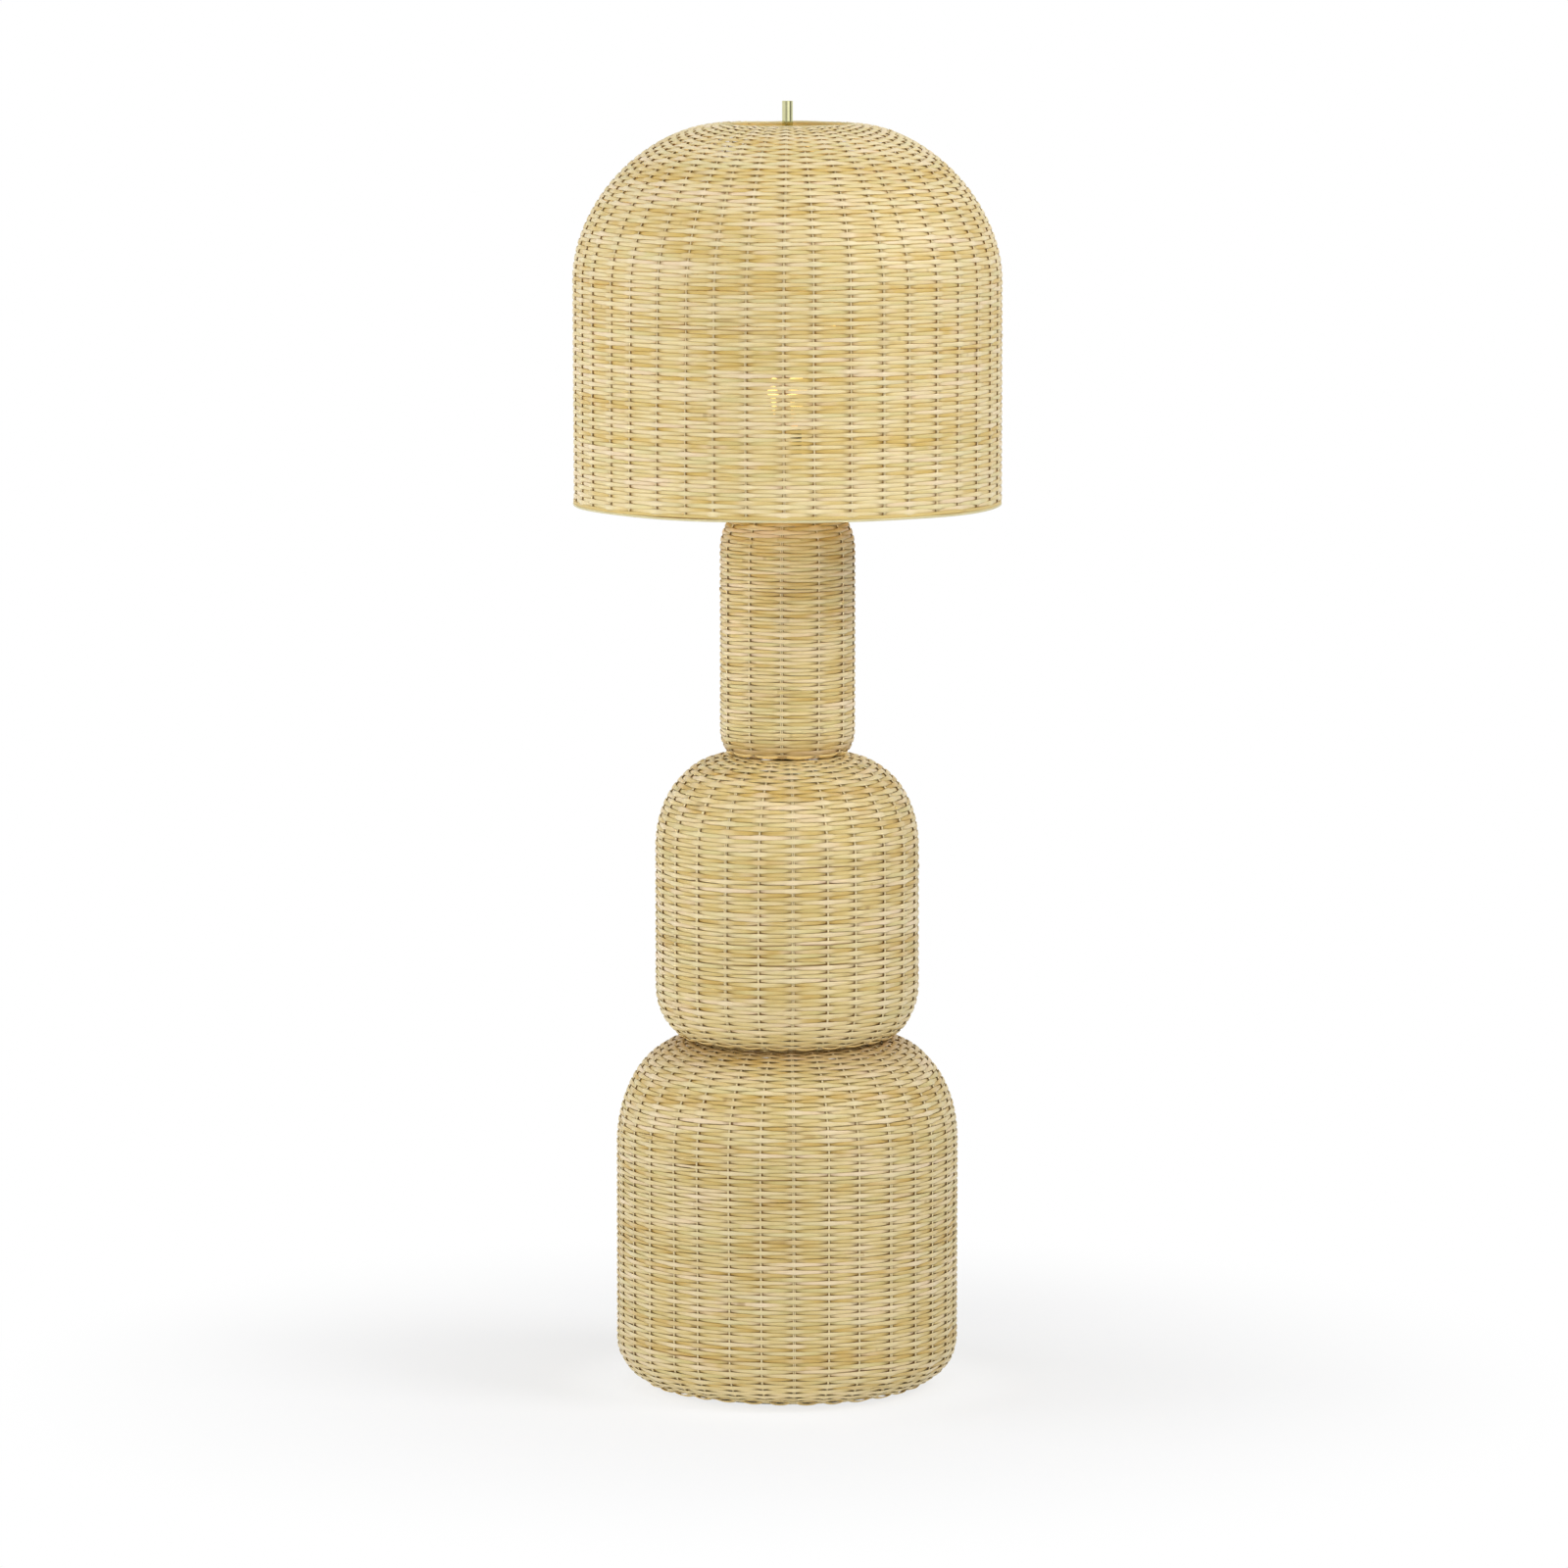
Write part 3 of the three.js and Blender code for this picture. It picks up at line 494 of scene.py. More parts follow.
def edge_ring(name, t, edge_radius, edge_level, cane):
    """A closed ring of cane on a tier's edge: an ellipse carried round the axis, at an uneven level."""
    steps, sides = cane["steps"], cane["sides"]
    turn = even_turns(steps)[None, :, None]
    section = even_turns(sides)[None, None, :]
    radius = edge_radius + cane["out"] + cane["half_depth"] * np.cos(section)
    level = edge_level + cane["up"] + slow_wave(t, RING_WAVE, turn, 0.0)
    points = round_axis(radius, turn, level + cane["half_height"] * np.sin(section))
    u = even_turns(steps, 1)[None, :] * t["radius"]
    v = (np.append(np.arange(sides), 0) / sides)[None, :]
    return strands_mesh(name, points, u, v, True)


# The lapped band is moved up and out from the rim. It climbs over its start, and its tip narrows, between
# shares of the lap past the full turn. There it lies out by a share of its thickness and up by a share of
# its height.
BAND_STEPS = 260
BAND_UP = -0.0012
BAND_OUT = -0.0012
BAND_HEIGHT = 0.0042
BAND_START = FRONT + 0.8
BAND_LAP = 0.16
BAND_CLIMB_SHARES = np.array([-0.35, 0.05])
BAND_TIP_SHARES = np.array([0.6, 1.0])
BAND_OUT_SHARE = 1.05
BAND_UP_SHARE = 0.12
BAND_TIP_LOSS = 0.75


def lapped_band(name, t, rim_radius, rim_level):
    """A flat strip bent round a rim and lapped over itself: its end lies on its start, and narrows in
    the last part of the lap."""
    turn = np.linspace(0, FULL_TURN + BAND_LAP, BAND_STEPS)[None, :, None]
    over = smooth(turn, *(FULL_TURN + BAND_LAP * BAND_CLIMB_SHARES))
    tip = 1 - BAND_TIP_LOSS * smooth(turn, *(FULL_TURN + BAND_LAP * BAND_TIP_SHARES))
    radius = rim_radius + BAND_OUT + (over * BAND_OUT_SHARE + STRIP_THROUGH) * STRIP_THICKNESS
    rise = slow_wave(t, BAND_WAVE, turn, 0.0) + BAND_UP_SHARE * BAND_HEIGHT * over
    level = rim_level + BAND_UP + rise + STRIP_ACROSS * BAND_HEIGHT * tip
    points = round_axis(radius, BAND_START + turn, level)
    return strands_mesh(name, points, turn[:, :, 0] * t["radius"], STRIP_V[None, :], False)


# The scalloped border: its steps from stake to stake, the shares of its width and bulge by which it is
# narrower and sinks where it is tucked in, and its thickness as a share of a strip's
BORDER_STEPS = 8
BORDER_TUCK = 0.28
BORDER_SINK = 0.35
BORDER_THICKNESS = 1.4


def scalloped_border(name, t, line):
    """The binding strip at a tier's foot: tucked in at each stake, and bulging by a sine's root between."""
    count = t["stakes"] * BORDER_STEPS
    turn = even_turns(count)[None, :, None]
    bow = np.sqrt(np.abs(np.sin(t["stakes"] / 2 * turn)))
    width = t["border_width"] * (1 - BORDER_TUCK + BORDER_TUCK * bow)
    along = t["border_at"] + STRIP_ACROSS * width
    thickness = BORDER_THICKNESS * STRIP_THICKNESS
    out = t["border_bulge"] * (bow - BORDER_SINK) + STRIP_THROUGH * thickness
    points = placed(t, line, real_turn(t, turn), along, out)
    u = even_turns(count, 1)[None, :] * t["radius"]
    return strands_mesh(name, points, u, STRIP_V[None, :], True)


# The rolled border: a strand's girth at its tips, width and depth are shares of its girth, fullness is a
# power, and it starts before its stake by a share of the gaps that it reaches over
ROLL_STEPS = 15
ROLL_SIDES = 8
ROLL_PAST_LIP = 0.0008
ROLL_DIP = 0.0006
ROLL_GIRTH = 0.0017
ROLL_TIP_SHARE = 0.3
ROLL_FULLNESS = 0.7
ROLL_WIDTH = 1.25
ROLL_DEPTH = 0.75
ROLL_GAPS = 2.3
ROLL_START = 0.2
ROLL_SWING = 0.0013


def rolled_border(name, t, line):
    """The rolled edge of a tier's crown: each stake's end lies past the next stakes, from inside to
    outside, like a strand of a rope. It is thick in its middle, by a sine, and thin at both ends."""
    strands = t["stakes"]
    share = np.linspace(0, 1, ROLL_STEPS)[None, :, None]
    section = even_turns(ROLL_SIDES)[None, None, :]
    reach = ROLL_GAPS * FULL_TURN / strands
    turn = stake_turns(t)[:-1][:, None, None] + (share - ROLL_START) * reach
    girth = ROLL_GIRTH * (ROLL_TIP_SHARE + (1 - ROLL_TIP_SHARE) * np.sin(math.pi * share) ** ROLL_FULLNESS)
    dip = ROLL_DIP * np.sin(math.pi * share)
    along = woven_length(line) + ROLL_PAST_LIP + dip + girth * ROLL_WIDTH * np.cos(section)
    out = -ROLL_SWING * np.cos(math.pi * share) + girth * ROLL_DEPTH * np.sin(section)
    points = placed(t, line, turn, along, out)
    u = np.broadcast_to(np.linspace(0, reach * t["radius"], ROLL_STEPS), (strands, ROLL_STEPS))
    v = np.arange(strands)[:, None] + np.append(np.arange(ROLL_SIDES), 0)[None, :] / ROLL_SIDES
    return strands_mesh(name, points[:, :, ::-1], u, v, False)


# Shader trees


class Value:
    """A socket of a shader tree. Its operators add Math nodes."""

    def __init__(self, tree, socket):
        self.tree = tree
        self.socket = socket

    def math(self, operation, *others):
        return self.tree.node("ShaderNodeMath", {"operation": operation}, dict(enumerate((self, *others))))

    def __add__(self, other):
        return self.math("ADD", other)

    def __mul__(self, other):
        return self.math("MULTIPLY", other)

    def __sub__(self, other):
        return self.math("SUBTRACT", other)

    def __rsub__(self, other):
        return (self * -1.0) + other


class Tree:
    """A shader tree, and the nodes that its maker adds to it."""

    def __init__(self, tree):
        self.tree = tree

    def node(self, kind, settings=None, sockets=None, output=0):
        """A node of a kind, with its settings set first and then its sockets' values or links."""
        made = self.tree.nodes.new(kind)
        for label, value in (settings or {}).items():
            setattr(made, label, value)
        for label, value in (sockets or {}).items():
            self.feed(made.inputs[label], value)
        return Value(self, made.outputs[output])

    def feed(self, socket, value):
        if isinstance(value, Value):
            self.tree.links.new(value.socket, socket)
        else:
            socket.default_value = value

    def ramp(self, value, stops):
        """A ramp of colours over a value, with the place of each."""
        made = self.node("ShaderNodeValToRGB", None, {"Fac": value})
        elements = made.socket.node.color_ramp.elements
        while len(elements) < len(stops):
            elements.new(0.5)
        for element, (place, colour) in zip(elements, stops):
            element.position = place
            element.color = colour
        return made

    def mix(self, factor, first, second, blend="MIX"):
        settings = {"data_type": "RGBA", "blend_type": blend}
        return self.node("ShaderNodeMix", settings, {0: factor, 6: first, 7: second}, output=2)

    def between(self, value, low, high):
        """0 below low and 1 above high, smooth between."""
        sockets = {"Value": value, "From Min": low, "From Max": high}
        return self.node("ShaderNodeMapRange", {"interpolation_type": "SMOOTHSTEP"}, sockets)

    def vector(self, x, y, z):
        return self.node("ShaderNodeCombineXYZ", None, {"X": x, "Y": y, "Z": z})

    def noise(self, vector, scale, detail=2.0, roughness=0.5):
        sockets = {"Vector": vector, "Scale": scale, "Detail": detail, "Roughness": roughness}
        return self.node("ShaderNodeTexNoise", None, sockets)

    def part(self, vector, axis):
        """One number of a vector."""
        return self.node("ShaderNodeSeparateXYZ", None, {"Vector": vector}, output=axis)

    def object_place(self):
        return self.node("ShaderNodeTexCoord", output="Object")

    def strip_place(self):
        """The place along and across a strip or cane, from the UV map."""
        place = self.node("ShaderNodeUVMap", {"uv_map": "strip"})
        return self.part(place, "X"), self.part(place, "Y")

    def attribute(self, label):
        return self.node("ShaderNodeAttribute", {"attribute_name": label}, output="Fac")

    def light_path(self, label):
        return self.node("ShaderNodeLightPath", output=label)

    def seen(self):
        """1 for what the camera sees, in metal and through glass too, and 0 for light on the lamp."""
        straight, in_metal = self.light_path("Is Camera Ray"), self.light_path("Is Glossy Ray")
        return straight.math("MAXIMUM", in_metal).math("MAXIMUM", self.light_path("Is Transmission Ray"))


class Finish(Tree):
    """A material with one Principled shader."""

    def __init__(self, name, **constants):
        self.material = bpy.data.materials.new(name)
        self.material.use_nodes = True
        super().__init__(self.material.node_tree)
        self.shader = self.tree.nodes["Principled BSDF"]
        self.set(**constants)

    def set(self, **sockets):
        for label, value in sockets.items():
            self.feed(self.shader.inputs[label.replace("_", " ")], value)

    def bump(self, height, strength, distance):
        sockets = {"Strength": strength, "Distance": distance, "Height": height}
        self.set(Normal=self.node("ShaderNodeBump", None, sockets))


def colour(red, green, blue):
    """A colour of three sRGB values from 0 to 255, as linear values with alpha."""
    share = np.array([red, green, blue]) / 255
    linear = np.where(share <= 0.04045, share / 12.92, ((share + 0.055) / 1.055) ** 2.4)
    return (*(float(x) for x in linear), 1.0)


# Colours of split rattan, and of the painted shade, light and highlight laid on it. The shade's strips are
# paler and their painted shade browner.
RATTAN_TONES = {
    "pale": colour(227, 207, 152),
    "straw": colour(216, 193, 127),
    "golden": colour(205, 173, 96),
    "brown": colour(156, 121, 62),
    "green": colour(212, 205, 146),
    "blush": colour(236, 213, 176),
    # Painted: a highlight on crests, shade by the stakes, and shade and light by a tier's foot and crown
    "crest_highlight": colour(247, 235, 203),
    "crevice_shade": colour(122, 76, 14),
    "painted_shade_brown": colour(168, 124, 60),
    "painted_light_pale": colour(250, 229, 168),
}
SHADE_TONES = {
    **RATTAN_TONES,
    "pale": colour(234, 216, 164),
    "straw": colour(224, 201, 138),
    "golden": colour(214, 183, 103),
    "crevice_shade": colour(146, 98, 26),
}

# A strip's own tone is a sum of noises in these shares, and the tones follow each other up that sum
PATCH_SHARE = 0.55
STRETCH_SHARE = 0.85
VEIN_SHARE = 0.3
ROW_SHARE = 0.26
TONE_SHIFT = -0.48
TONE_PLACES = (("golden", 0.30), ("straw", 0.46), ("pale", 0.60), ("blush", 0.78))

# Tints over that tone: the colour, its noise's pace along the strips, step from row to row, place and
# detail, the noise at which it begins and is full, and its greatest share
TINTS = (
    ("green", 8.0, 3.77, 20.0, 1.5, 0.52, 0.68, 0.42),
    ("blush", 15.0, 4.61, 60.0, 1.5, 0.58, 0.72, 0.60),
    ("brown", 17.0, 5.13, 40.0, 2.5, 0.66, 0.80, 0.55),
    ("brown", 45.0, 5.91, 120.0, 1.5, 0.72, 0.80, 0.60),
)

# Fibres: paces along a strip and across its row, and the shares of the straw between them, the painted
# shade along the strips' edges, the painted highlight on the crest over a stake and the bulb's warm light
# painted golden on the inner face
FIBRE_PACES = (26.0, 11.0)
FIBRE_SHARE = 0.30
EDGE_SHADE_SHARE = 0.12
CREST_HIGHLIGHT_SHARE = 0.26
INSIDE_LAMPLIGHT_SHARE = 0.4

# The painted shade beside a stake: its reach from the stake's middle, its fade, and what it gains at
# random, anew in each cell of a row
TICK_REACH = 0.0014
TICK_FADE = 0.0012
TICK_CHANCE = 0.45
CELLS_PER_METRE = 26.0

# Heights in a row, as shares of it: the painted shade line under a strip, at most, and the painted shade of
# an open joint
WEDGE_HEIGHT = 0.45
JOINT_HEIGHT = 0.36
JOINT_FADE = 0.12
JOINT_SHARE = 0.75

# Strength and depth of the fibres' relief on strips and canes
FIBRE_BUMP = (0.4, 0.0003)


def streaks(f, pace, rows_apart, place, detail=1.5):
    """Noise that runs along the strips at a pace, anew in each row or slowly over the rows."""
    x, y = f.part(f.object_place(), "X"), f.part(f.object_place(), "Y")
    return f.noise(f.vector(x * pace, y * pace, rows_apart + place), 1.0, detail)


def rattan_base(f, v, row, chance, tones):
    """A strip's own tone, from patches over several rows, stretches of the row, veins in it and the row's
    chance, with tints over it."""
    patch = streaks(f, 9.0, v * 0.17, 0.0)
    stretch = streaks(f, 13.0, row * 7.31, 0.0, 2.5)
    vein = streaks(f, 16.0, v * 2.3, 80.0)
    tone = patch * PATCH_SHARE + stretch * STRETCH_SHARE + vein * VEIN_SHARE + chance * ROW_SHARE
    tone = tone + TONE_SHIFT
    base = f.ramp(tone, [(place, tones[label]) for label, place in TONE_PLACES])
    for label, pace, row_step, place, detail, begins, full, share in TINTS:
        tint = f.between(streaks(f, pace, row * row_step, place, detail), begins, full)
        base = f.mix(tint * share, base, tones[label])
    return base


def painted_shade_places(f, base, u, row, across, crevice_shade, shade_tick_share, shade_wedge_reach, shade_wedge_share):
    """A strip that goes behind a stake gets painted shade beside it, and a painted shade line along its
    lower edge that thins out away from it. An open joint gets painted shade too. The inner face has none of
    them."""
    out, distance, face = f.attribute("weave_out"), f.attribute("stake_distance"), f.attribute("face_out")
    outside = f.between(face, 0.0, 0.5)
    behind = (1.0 - f.between(out, -0.30, 0.0)) * outside
    cell = f.vector(row, (u * CELLS_PER_METRE).math("FLOOR"), 0.0)
    chance = f.node("ShaderNodeTexWhiteNoise", {"noise_dimensions": "2D"}, {"Vector": cell})
    # Painted shade beside the stake, on the strip that passes behind it
    beside = (1.0 - f.between(distance, TICK_REACH, TICK_REACH + TICK_FADE)) * behind
    base = f.mix(beside * (chance * TICK_CHANCE + shade_tick_share), base, crevice_shade)
    # A painted shade line along the lower edge, thinning away from the stake
    height = (1.0 - distance * (1 / shade_wedge_reach)) * WEDGE_HEIGHT
    wedge = f.between(height - across, -0.04, 0.10) * behind
    base = f.mix(wedge * shade_wedge_share, base, crevice_shade)
    # Painted shade in an open joint
    joint = f.between(JOINT_HEIGHT - across, 0.0, JOINT_FADE) * f.attribute("seam") * outside
    return f.mix(joint * JOINT_SHARE, base, crevice_shade)


def rattan_finish(name, tones, shade_tick_share, shade_wedge_reach, shade_wedge_share):
    """Split rattan: each strip's own tone, long fibres, painted shade along the strips' edges, a painted
    highlight on crests, painted shade by the stakes, painted shade and light towards the tier's edges, and
    the bulb's warm light painted golden on the inner face."""
    f = Finish(name, Coat_Roughness=0.35, Specular_IOR_Level=0.5)
    u, v = f.strip_place()
    row = v.math("FLOOR")
    across = v - row
    chance = f.node("ShaderNodeTexWhiteNoise", {"noise_dimensions": "1D"}, {"W": row * 1.37 + 3.1})
    base = rattan_base(f, v, row, chance, tones)
    along_pace, across_pace = FIBRE_PACES
    fibre = f.noise(f.vector(u * along_pace, v * across_pace, 0.0), 1.0, 3.0, 0.65)
    deeper = f.mix(1.0, base, tones["straw"], "MULTIPLY")
    base = f.mix(f.between(fibre, 0.35, 0.72) * FIBRE_SHARE, base, deeper)
    # Painted shade along the strips' edges, where the rows meet
    edge = f.between((across - 0.5).math("ABSOLUTE"), 0.38, 0.50)
    base = f.mix(edge * EDGE_SHADE_SHARE, base, tones["brown"])
    # A painted highlight on the crests where a strip passes over a stake
    base = f.mix(f.between(f.attribute("weave_out"), -0.2, 1.0) * CREST_HIGHLIGHT_SHARE, base, tones["crest_highlight"])
    base = painted_shade_places(f, base, u, row, across, tones["crevice_shade"], shade_tick_share, shade_wedge_reach, shade_wedge_share)
    # Painted shade, browner, and painted light, paler, towards the tier's foot and crown
    painted_shading = f.attribute("painted_edge_shading")
    base = f.mix(painted_shading, base, tones["painted_shade_brown"])
    base = f.mix(painted_shading * -1.0, base, tones["painted_light_pale"])
    # The bulb's warm light, painted golden on the inner face
    inside = 1.0 - f.between(f.attribute("face_out"), -0.8, -0.1)
    base = f.mix(inside * INSIDE_LAMPLIGHT_SHARE, base, tones["golden"])
    f.set(Base_Color=base, Roughness=f.between(fibre, 0.2, 0.8) * 0.2 + 0.36, Coat_Weight=chance * 0.25)
    f.bump(fibre, *FIBRE_BUMP)
    return f.material


# Round cane: paces of its fibres along and across it and of its stains along it and from cane to cane,
# the shares of the stains and of a stake's dark flanks, and where a stake's outer face lies in v
CANE_FIBRE_PACES = (22.0, 12.0)
STAIN_PACES = (9.0, 4.7)
STAIN_SHARE = 0.5
FLANK_SHARE = 0.8
STAKE_FACE = 0.01 + 0.98 / 4


def cane_finish(name, pale, straw, flank=None):
    """Smooth cane: long fibres up its length and a few darker stains. A stake has dark flanks, where the
    strips that pass it shut the light out."""
    f = Finish(name, Specular_IOR_Level=0.4)
    u, v = f.strip_place()
    cane = v.math("FLOOR")
    along_pace, across_pace = CANE_FIBRE_PACES
    fibre = f.noise(f.vector(u * along_pace, v * across_pace, 1.0), 1.0, 3.0, 0.6)
    along_pace, cane_step = STAIN_PACES
    stain = f.between(f.noise(f.vector(u * along_pace, cane * cane_step, 3.0), 1.0, 2.0), 0.62, 0.78)
    base = f.mix(f.between(fibre, 0.3, 0.75), pale, straw)
    base = f.mix(stain * STAIN_SHARE, base, RATTAN_TONES["brown"])
    if flank:
        outward = ((v - cane - STAKE_FACE) * FULL_TURN).math("COSINE")
        base = f.mix((1.0 - f.between(outward, 0.10, 0.60)) * FLANK_SHARE, base, flank)
    f.set(Base_Color=base, Roughness=fibre * 0.2 + 0.4)
    f.bump(fibre, *FIBRE_BUMP)
    return f.material


rattan = rattan_finish("rattan", RATTAN_TONES, 0.38, 0.017, 0.85)
shade_rattan = rattan_finish("shade_rattan", SHADE_TONES, 0.34, 0.012, 0.8)
stake_flank = RATTAN_TONES["crevice_shade"]
stake_cane = cane_finish("stake_cane", colour(240, 224, 176), colour(228, 209, 158), stake_flank)
edge_cane = cane_finish("edge_cane", colour(222, 212, 168), colour(205, 194, 146))
band_rattan = cane_finish("band_rattan", colour(218, 194, 128), colour(205, 176, 104))
# The borders' cane is made paler as painted light, lifting the shade at the drums' feet and where they meet
border_rattan_painted_light = cane_finish("border_rattan_painted_light", colour(250, 224, 158), colour(238, 208, 136))


def paint(piece, material):
    piece.data.materials.clear()
    piece.data.materials.append(material)


def use(piece, material, body, stands_for):
    """Give a piece its material and body, and hide the node that it stands for."""
    paint(piece, material)
    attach(piece, body)
    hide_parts(stands_for)


def seam(turn, along, turn_reach):
    """A place where the joint under a row shows as a dark line."""
    return {"turn": turn, "along": along, "turn_reach": turn_reach}


def loose_place(turn, along, turn_reach, along_reach, share):
    """A place where the strips lack a share of their width, so that gaps open between the rows."""
    return {**seam(turn, along, turn_reach), "along_reach": along_reach, "share": share}


TIERS = {
    "base": tier(
        "base_weave",
        foot_inset=0.056, foot_rise=0.052, crown_inset=0.096, crown_drop=0.127, power=2.1,
        stakes=32, stake=0.0014, start=0.040, pitch=0.00438, bend=0.23, seed=11,
        border_at=0.0180, border_width=0.0095, border_bulge=0.0050,
        foot_tone=(0.075, -0.85), crown_tone=(0.095, 0.62),
        loose=[loose_place(FRONT - 0.62, 0.312, 0.11, 0.0024, 0.5)],
        seams=[
            seam(FRONT - 0.10, 0.306, 0.40),
            seam(FRONT + 0.45, 0.078, 0.35),
            seam(FRONT - 0.65, 0.088, 0.40),
        ],
    ),
    "middle": tier(
        "middle_weave",
        foot_inset=0.042, foot_rise=0.062, crown_inset=0.092, crown_drop=0.110, power=2.1,
        stakes=24, stake=0.0014, start=0.042, pitch=0.00475, bend=0.21, seed=23,
        border_at=0.0110, border_width=0.0085, border_bulge=0.0040,
        foot_tone=(0.070, -0.50), crown_tone=(0.045, -0.40),
        seams=[seam(FRONT, 0.124, 0.90), seam(FRONT + 0.10, 0.150, 1.00), seam(FRONT + 0.25, 0.240, 0.35)],
    ),
    "neck": tier(
        "neck_weave",
        foot_inset=0.016, foot_rise=0.030, crown_inset=0.026, crown_drop=0.045, power=2.0,
        stakes=12, stake=0.0014, start=-0.09, pitch=0.00425, bend=0.19, seed=37,
        border_at=0.0060, border_width=0.0060, border_bulge=0.0030,
        foot_tone=(0.034, 0.60),
        seams=[seam(FRONT, 0.205, 1.0), seam(FRONT - 0.2, 0.056, 0.6), seam(FRONT + 0.1, 0.030, 0.5)],
    ),
    "shade": tier(
        "shade_weave",
        foot_inset=0.0, foot_rise=0.0, crown_inset=0.17145, crown_drop=0.179, power=1.8,
        stakes=40, stake=0.0010, start=-0.016, pitch=0.00452, bend=0.19, seed=41,
        loose=[
            loose_place(FRONT - 0.032, 0.137, 0.020, 0.022, 0.22),
            loose_place(FRONT + 0.016, 0.137, 0.026, 0.022, 0.24),
            loose_place(FRONT + 0.072, 0.089, 0.034, 0.011, 0.36),
        ],
        seams=[
            seam(FRONT - 0.45, 0.215, 0.75),
            seam(FRONT - 1.10, 0.265, 0.35),
            seam(FRONT + 1.00, 0.186, 0.30),
        ],
    ),
}

# The most rows in one piece, the loose strip ends of each tier, and the one off the shade's right side
MOST_ROWS = 48
END_COUNTS = {"base": 16, "middle": 12, "neck": 6, "shade": 14}
SHADE_FRAY = (FULL_TURN, 0.214, 0.003)


def build_tier(label, body, material, fixed_ends=()):
    """The rows, stakes and loose strip ends of one tier. Gives the tier, its upright line and the radius
    of the mouth in its crown."""
    t = TIERS[label]
    line = meridian(t)
    rows = len(row_places(t, line)[0])
    pieces = math.ceil(rows / MOST_ROWS)
    breaks = [round(rows * i / pieces) for i in range(pieces + 1)]
    for i in range(pieces):
        name = f"{label}_strips_{i + 1}"
        use(woven_rows(name, t, line, breaks[i], breaks[i + 1]), material, body, t["node"])
    use(woven_stakes(f"{label}_stakes", t, line), stake_cane, body, t["node"])
    ends = strip_ends(f"{label}_strip_ends", t, line, END_COUNTS[label], fixed_ends)
    use(ends, material, body, t["node"])
    return t, line, t["radius"] - t["crown_inset"]


def build_drum(label):
    """A drum of the stand: weaving, a scalloped foot, and a rolled crown over a ring of cane."""
    t, line, mouth_radius = build_tier(label, "stand", rattan)
    crown = rolled_border(f"{label}_crown_border", t, line)
    foot = scalloped_border(f"{label}_foot_border", t, line)
    ring = edge_ring(f"{label}_crown_cane", t, mouth_radius, t["crown"], CROWN_CANE)
    for piece in (crown, ring, foot):
        use(piece, border_rattan_painted_light, "stand", t["node"])


def build_shade():
    """The shade: weaving, a cane ring and a flat binding round its mouth, and a lapped flat strip and a
    cane ring round its rim."""
    t, line, mouth_radius = build_tier("shade", "shade", shade_rattan, [SHADE_FRAY])
    low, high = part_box("shade_rim_band")
    mouth = edge_ring("shade_mouth_ring", t, mouth_radius, t["crown"], MOUTH_CANE)
    use(mouth, edge_cane, "shade", t["node"])
    binding = edge_ring("shade_mouth_binding", t, mouth_radius, t["crown"], MOUTH_BINDING)
    use(binding, band_rattan, "shade", t["node"])
    strip = lapped_band("shade_rim_strip", t, high.x, high.z)
    use(strip, band_rattan, "shade", "shade_rim_band")
    ring = edge_ring("shade_rim_ring", t, high.x, low.z, RIM_CANE)
    use(ring, edge_cane, "shade", "shade_rim_band")


build_drum("base")
build_drum("middle")
build_drum("neck")
build_shade()


# Finishes of the machined and moulded pieces


def metal_finish(name, base, dark, roughness, grain, wear=0.12):
    """Turned or drawn metal: fine grain, which adds wear to its roughness, and slight clouds."""
    f = Finish(name, Metallic=1.0)
    place = f.object_place()
    cloud = f.noise(place, 35.0, 3.0)
    scratch = f.noise(place, grain, 2.0)
    f.set(Base_Color=f.mix(f.between(cloud, 0.35, 0.7), base, dark), Roughness=scratch * wear + roughness)
    f.bump(scratch, 0.08, 0.0001)
    return f.material


def plain_finish(name, base, dark, roughness, grain, relief):
    """A dull material with a fine grain: iron, felt, card, plastic or painted wire."""
    f = Finish(name)
    grains = f.noise(f.object_place(), grain, 4.0, 0.6)
    f.set(Base_Color=f.mix(f.between(grains, 0.35, 0.7), base, dark), Roughness=grains * 0.2 + roughness)
    f.bump(grains, 0.4, relief)
    return f.material


# Levels between which the bulb's light turns from warm at its neck to paler
GLOW_LEVELS = (1.137, 1.165)


def bulb_finish():
    """Frosted bulb glass, lit from inside, warmer towards its neck."""
    f = Finish("lit_glass", Roughness=0.35)
    paler = f.between(f.part(f.object_place(), "Z"), *GLOW_LEVELS)
    glow = f.mix(paler, colour(255, 176, 78), colour(255, 222, 128))
    f.set(Base_Color=colour(120, 98, 60), Emission_Color=glow, Emission_Strength=3.0)
    return f.material


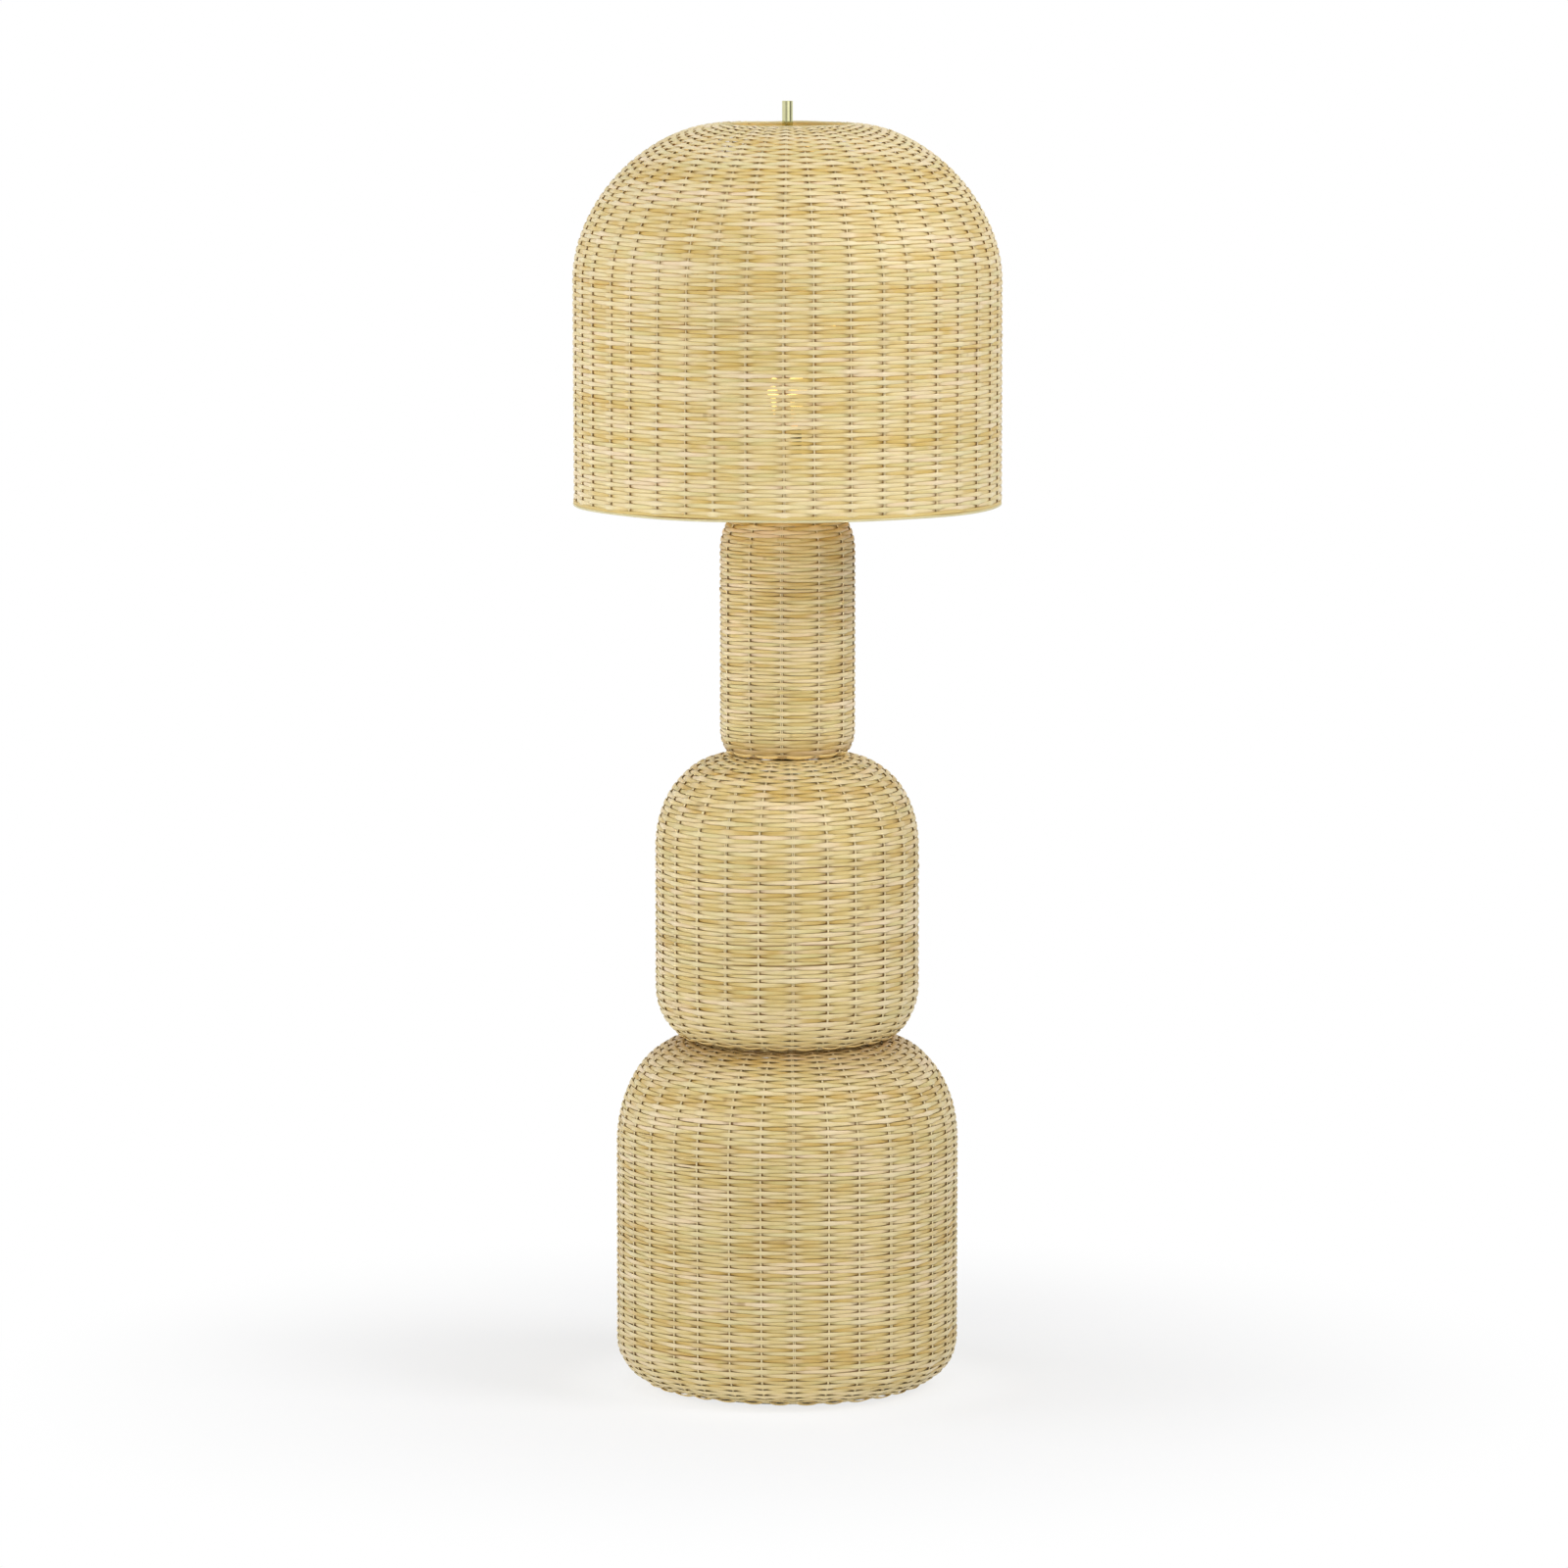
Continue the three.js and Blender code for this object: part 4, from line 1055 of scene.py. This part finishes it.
# The nodes of each finish, which has a colour, a darker one, roughness, grain and, if dull, relief
FINISHES = [
    (metal_finish("tube_steel", colour(168, 169, 172), colour(140, 141, 145), 0.3, 900.0),
     ["tube_flange", "flange_screw_1", "flange_screw_2", "flange_screw_3", "tube_lower", "tube_middle",
      "tube_upper", "coupler_lower", "coupler_upper"]),
    (metal_finish("brass", colour(206, 172, 104), colour(178, 142, 80), 0.32, 1100.0),
     ["neck_cap", "tube_reducer", "threaded_stem", "stem_nut", "harp_saddle", "socket_screw_shell",
      "bulb_cap", "harp", "harp_sleeve_left", "harp_sleeve_right"]),
    (metal_finish("dark_bronze", colour(66, 52, 38), colour(46, 37, 28), 0.35, 1100.0),
     ["socket_cap", "socket_shell"]),
    # The finial's pale yellow-green colour is painted reflection of the rattan around it
    (metal_finish("finial_metal", colour(221, 219, 176), colour(204, 202, 156), 0.02, 1400.0, wear=0.03),
     ["finial"]),
    (plain_finish("weight_iron", colour(58, 58, 62), colour(42, 42, 45), 0.55, 400.0, 0.0004),
     ["base_plate"]),
    (plain_finish("felt", colour(50, 51, 54), colour(34, 35, 37), 0.85, 1500.0, 0.0008),
     ["base_felt"]),
    (plain_finish("dark_plastic", colour(40, 37, 34), colour(28, 26, 24), 0.35, 700.0, 0.0001),
     ["cord_bushing", "socket_block", "switch_knob"]),
    (plain_finish("card", colour(196, 178, 142), colour(172, 152, 116), 0.8, 800.0, 0.0002),
     ["socket_liner"]),
    (plain_finish("frame_wire", colour(186, 152, 88), colour(160, 126, 66), 0.45, 260.0, 0.0002),
     ["base_frame", "middle_frame", "neck_frame", "shade_frame", "shade_spider"]),
    (bulb_finish(), ["bulb_glass"]),
]

for material, names in FINISHES:
    for name in names:
        paint(nodes[name], material)


# Studio

# The floor is whitened by a share near the lamp and wholly far off, between two distances, and by more
# close to the foot, which is painted light over the lamp's shadow there
FLOOR_REACH = 30.0
FLOOR_FADE = (0.34, 1.00)
FLOOR_WHITENESS = 0.63
CONTACT_FADE = (0.19, 0.30)
CONTACT_PAINTED_LIGHT = 0.14

WHITE = (1, 1, 1, 1)
WORLD_LIGHT = 0.40

# Upright bands that only metal sees: angles from the front, in radians, and the change in brightness
METAL_BANDS = ((-0.60, 0.20, -0.42), (0.36, 0.80, 0.45), (0.94, 1.36, -0.70))
BAND_SOFTNESS = 0.05

# The light in the shade, just above the glass
BULB_LIGHT_RISE = 0.05

# The camera's place, and how far down it looks, in degrees
CAMERA_PLACE = (-0.0040, -8.969, 1.822)
CAMERA_DROP = 7.04


def floor_finish():
    """Pale floor with the lamp's soft shadow near it, lifted by painted light close to the foot, and plain
    white far off.
    """
    f = Finish("pale_floor", Base_Color=(0.905, 0.92, 0.945, 1), Roughness=0.9, Specular_IOR_Level=0.0)
    far = f.node("ShaderNodeVectorMath", {"operation": "LENGTH"}, {0: f.object_place()}, output="Value")
    white = f.node("ShaderNodeEmission", None, {"Color": WHITE, "Strength": 1.0})
    whiteness = f.between(far, *FLOOR_FADE) * (1.0 - FLOOR_WHITENESS) + FLOOR_WHITENESS
    whiteness = whiteness + (1.0 - f.between(far, *CONTACT_FADE)) * CONTACT_PAINTED_LIGHT
    factor = whiteness * f.seen()
    mixed = f.node("ShaderNodeMixShader", None, {0: factor, 1: Value(f, f.shader.outputs[0]), 2: white})
    f.feed(f.tree.nodes["Material Output"].inputs["Surface"], mixed)
    return f.material


def build_floor():
    """A flat square under the felt."""
    corners = np.array([[-1, -1, 0], [1, -1, 0], [1, 1, 0], [-1, 1, 0]]) * FLOOR_REACH
    mesh = bpy.data.meshes.new("floor")
    mesh.from_pydata(corners.tolist(), [], [(0, 1, 2, 3)])
    mesh.materials.append(floor_finish())
    scene_object("floor", mesh)


def build_world():
    """White round the lamp, with a plain level of light on it. Metal also sees dim and bright bands."""
    world = bpy.data.worlds.new("studio")
    bpy.context.scene.world = world
    world.use_nodes = True
    w = Tree(world.node_tree)
    w.tree.nodes.clear()
    direction = w.node("ShaderNodeTexCoord", output="Generated")
    sideways = w.part(direction, "X").math("ARCTAN2", w.part(direction, "Y") * -1.0)
    change = 0.0
    for low, high, size in METAL_BANDS:
        past_low = w.between(sideways, low - BAND_SOFTNESS, low + BAND_SOFTNESS)
        past_high = w.between(sideways, high - BAND_SOFTNESS, high + BAND_SOFTNESS)
        change = (past_low - past_high) * size + change
    banded = change * w.light_path("Is Glossy Ray") + 1.0
    white = w.node("ShaderNodeBackground", None, {"Color": WHITE, "Strength": banded})
    plain = w.node("ShaderNodeBackground", None, {"Color": WHITE, "Strength": WORLD_LIGHT})
    mixed = w.node("ShaderNodeMixShader", None, {0: w.seen(), 1: plain, 2: white})
    w.feed(w.tree.nodes.new("ShaderNodeOutputWorld").inputs["Surface"], mixed)


def build_lamp(name, place, aim, size, power, spread=180.0, shine=True):
    """A square soft lamp at a place, aimed at a point, whose light spreads over an angle in degrees.
    Without shine it leaves no reflection."""
    data = bpy.data.lights.new(name, "AREA")
    data.size = size
    data.energy = power
    data.spread = math.radians(spread)
    lamp = scene_object(name, data)
    lamp.location = place
    away = np.array(aim, float) - np.array(place, float)
    level = math.hypot(away[0], away[1])
    lamp.rotation_euler = (math.atan2(level, -away[2]), 0, math.atan2(-away[0], away[1]))
    lamp.visible_camera = False
    lamp.visible_glossy = shine


def build_bulb_light():
    """The bulb's light inside the shade, from a small warm ball just above the glass."""
    data = bpy.data.lights.new("bulb_light", "POINT")
    data.energy = 0.9
    data.color = colour(255, 232, 188)[:3]
    data.shadow_soft_size = 0.02
    lamp = scene_object("bulb_light", data)
    lamp.location = (0, 0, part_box("bulb_glass")[1].z + BULB_LIGHT_RISE)
    lamp.visible_camera = False


def build_camera():
    """The camera, level from side to side, with its lens and sensor in millimetres."""
    data = bpy.data.cameras.new("camera")
    data.lens = 176.2
    data.sensor_width = 36.0
    data.clip_end = 100.0
    camera = scene_object("camera", data)
    camera.location = CAMERA_PLACE
    camera.rotation_euler = (math.radians(90 - CAMERA_DROP), 0, 0)
    bpy.context.scene.camera = camera


build_floor()
build_world()
build_lamp("left_lamp", place=(-3.3, 0.1, 2.0), aim=(0, 0, 0.9), size=2.4, power=42.0, shine=False)
build_lamp("right_lamp", place=(2.8, -1.2, 3.3), aim=(0, 0, 1.2), size=1.6, power=66.0)
build_lamp("front_lamp", place=(-1.6, -5.2, 0.7), aim=(0, 0, 0.3), size=2.4, power=92.0, shine=False)
build_lamp("neck_lamp", (-0.8, -4.4, 0.5), (0, 0, 0.86), size=0.5, power=0.12, spread=12.0, shine=False)
build_lamp("top_lamp", place=(-0.4, -1.4, 4.2), aim=(0, 0, 0.8), size=2.0, power=18.0)
build_bulb_light()
build_camera()
bpy.context.scene.view_settings.view_transform = "Standard"
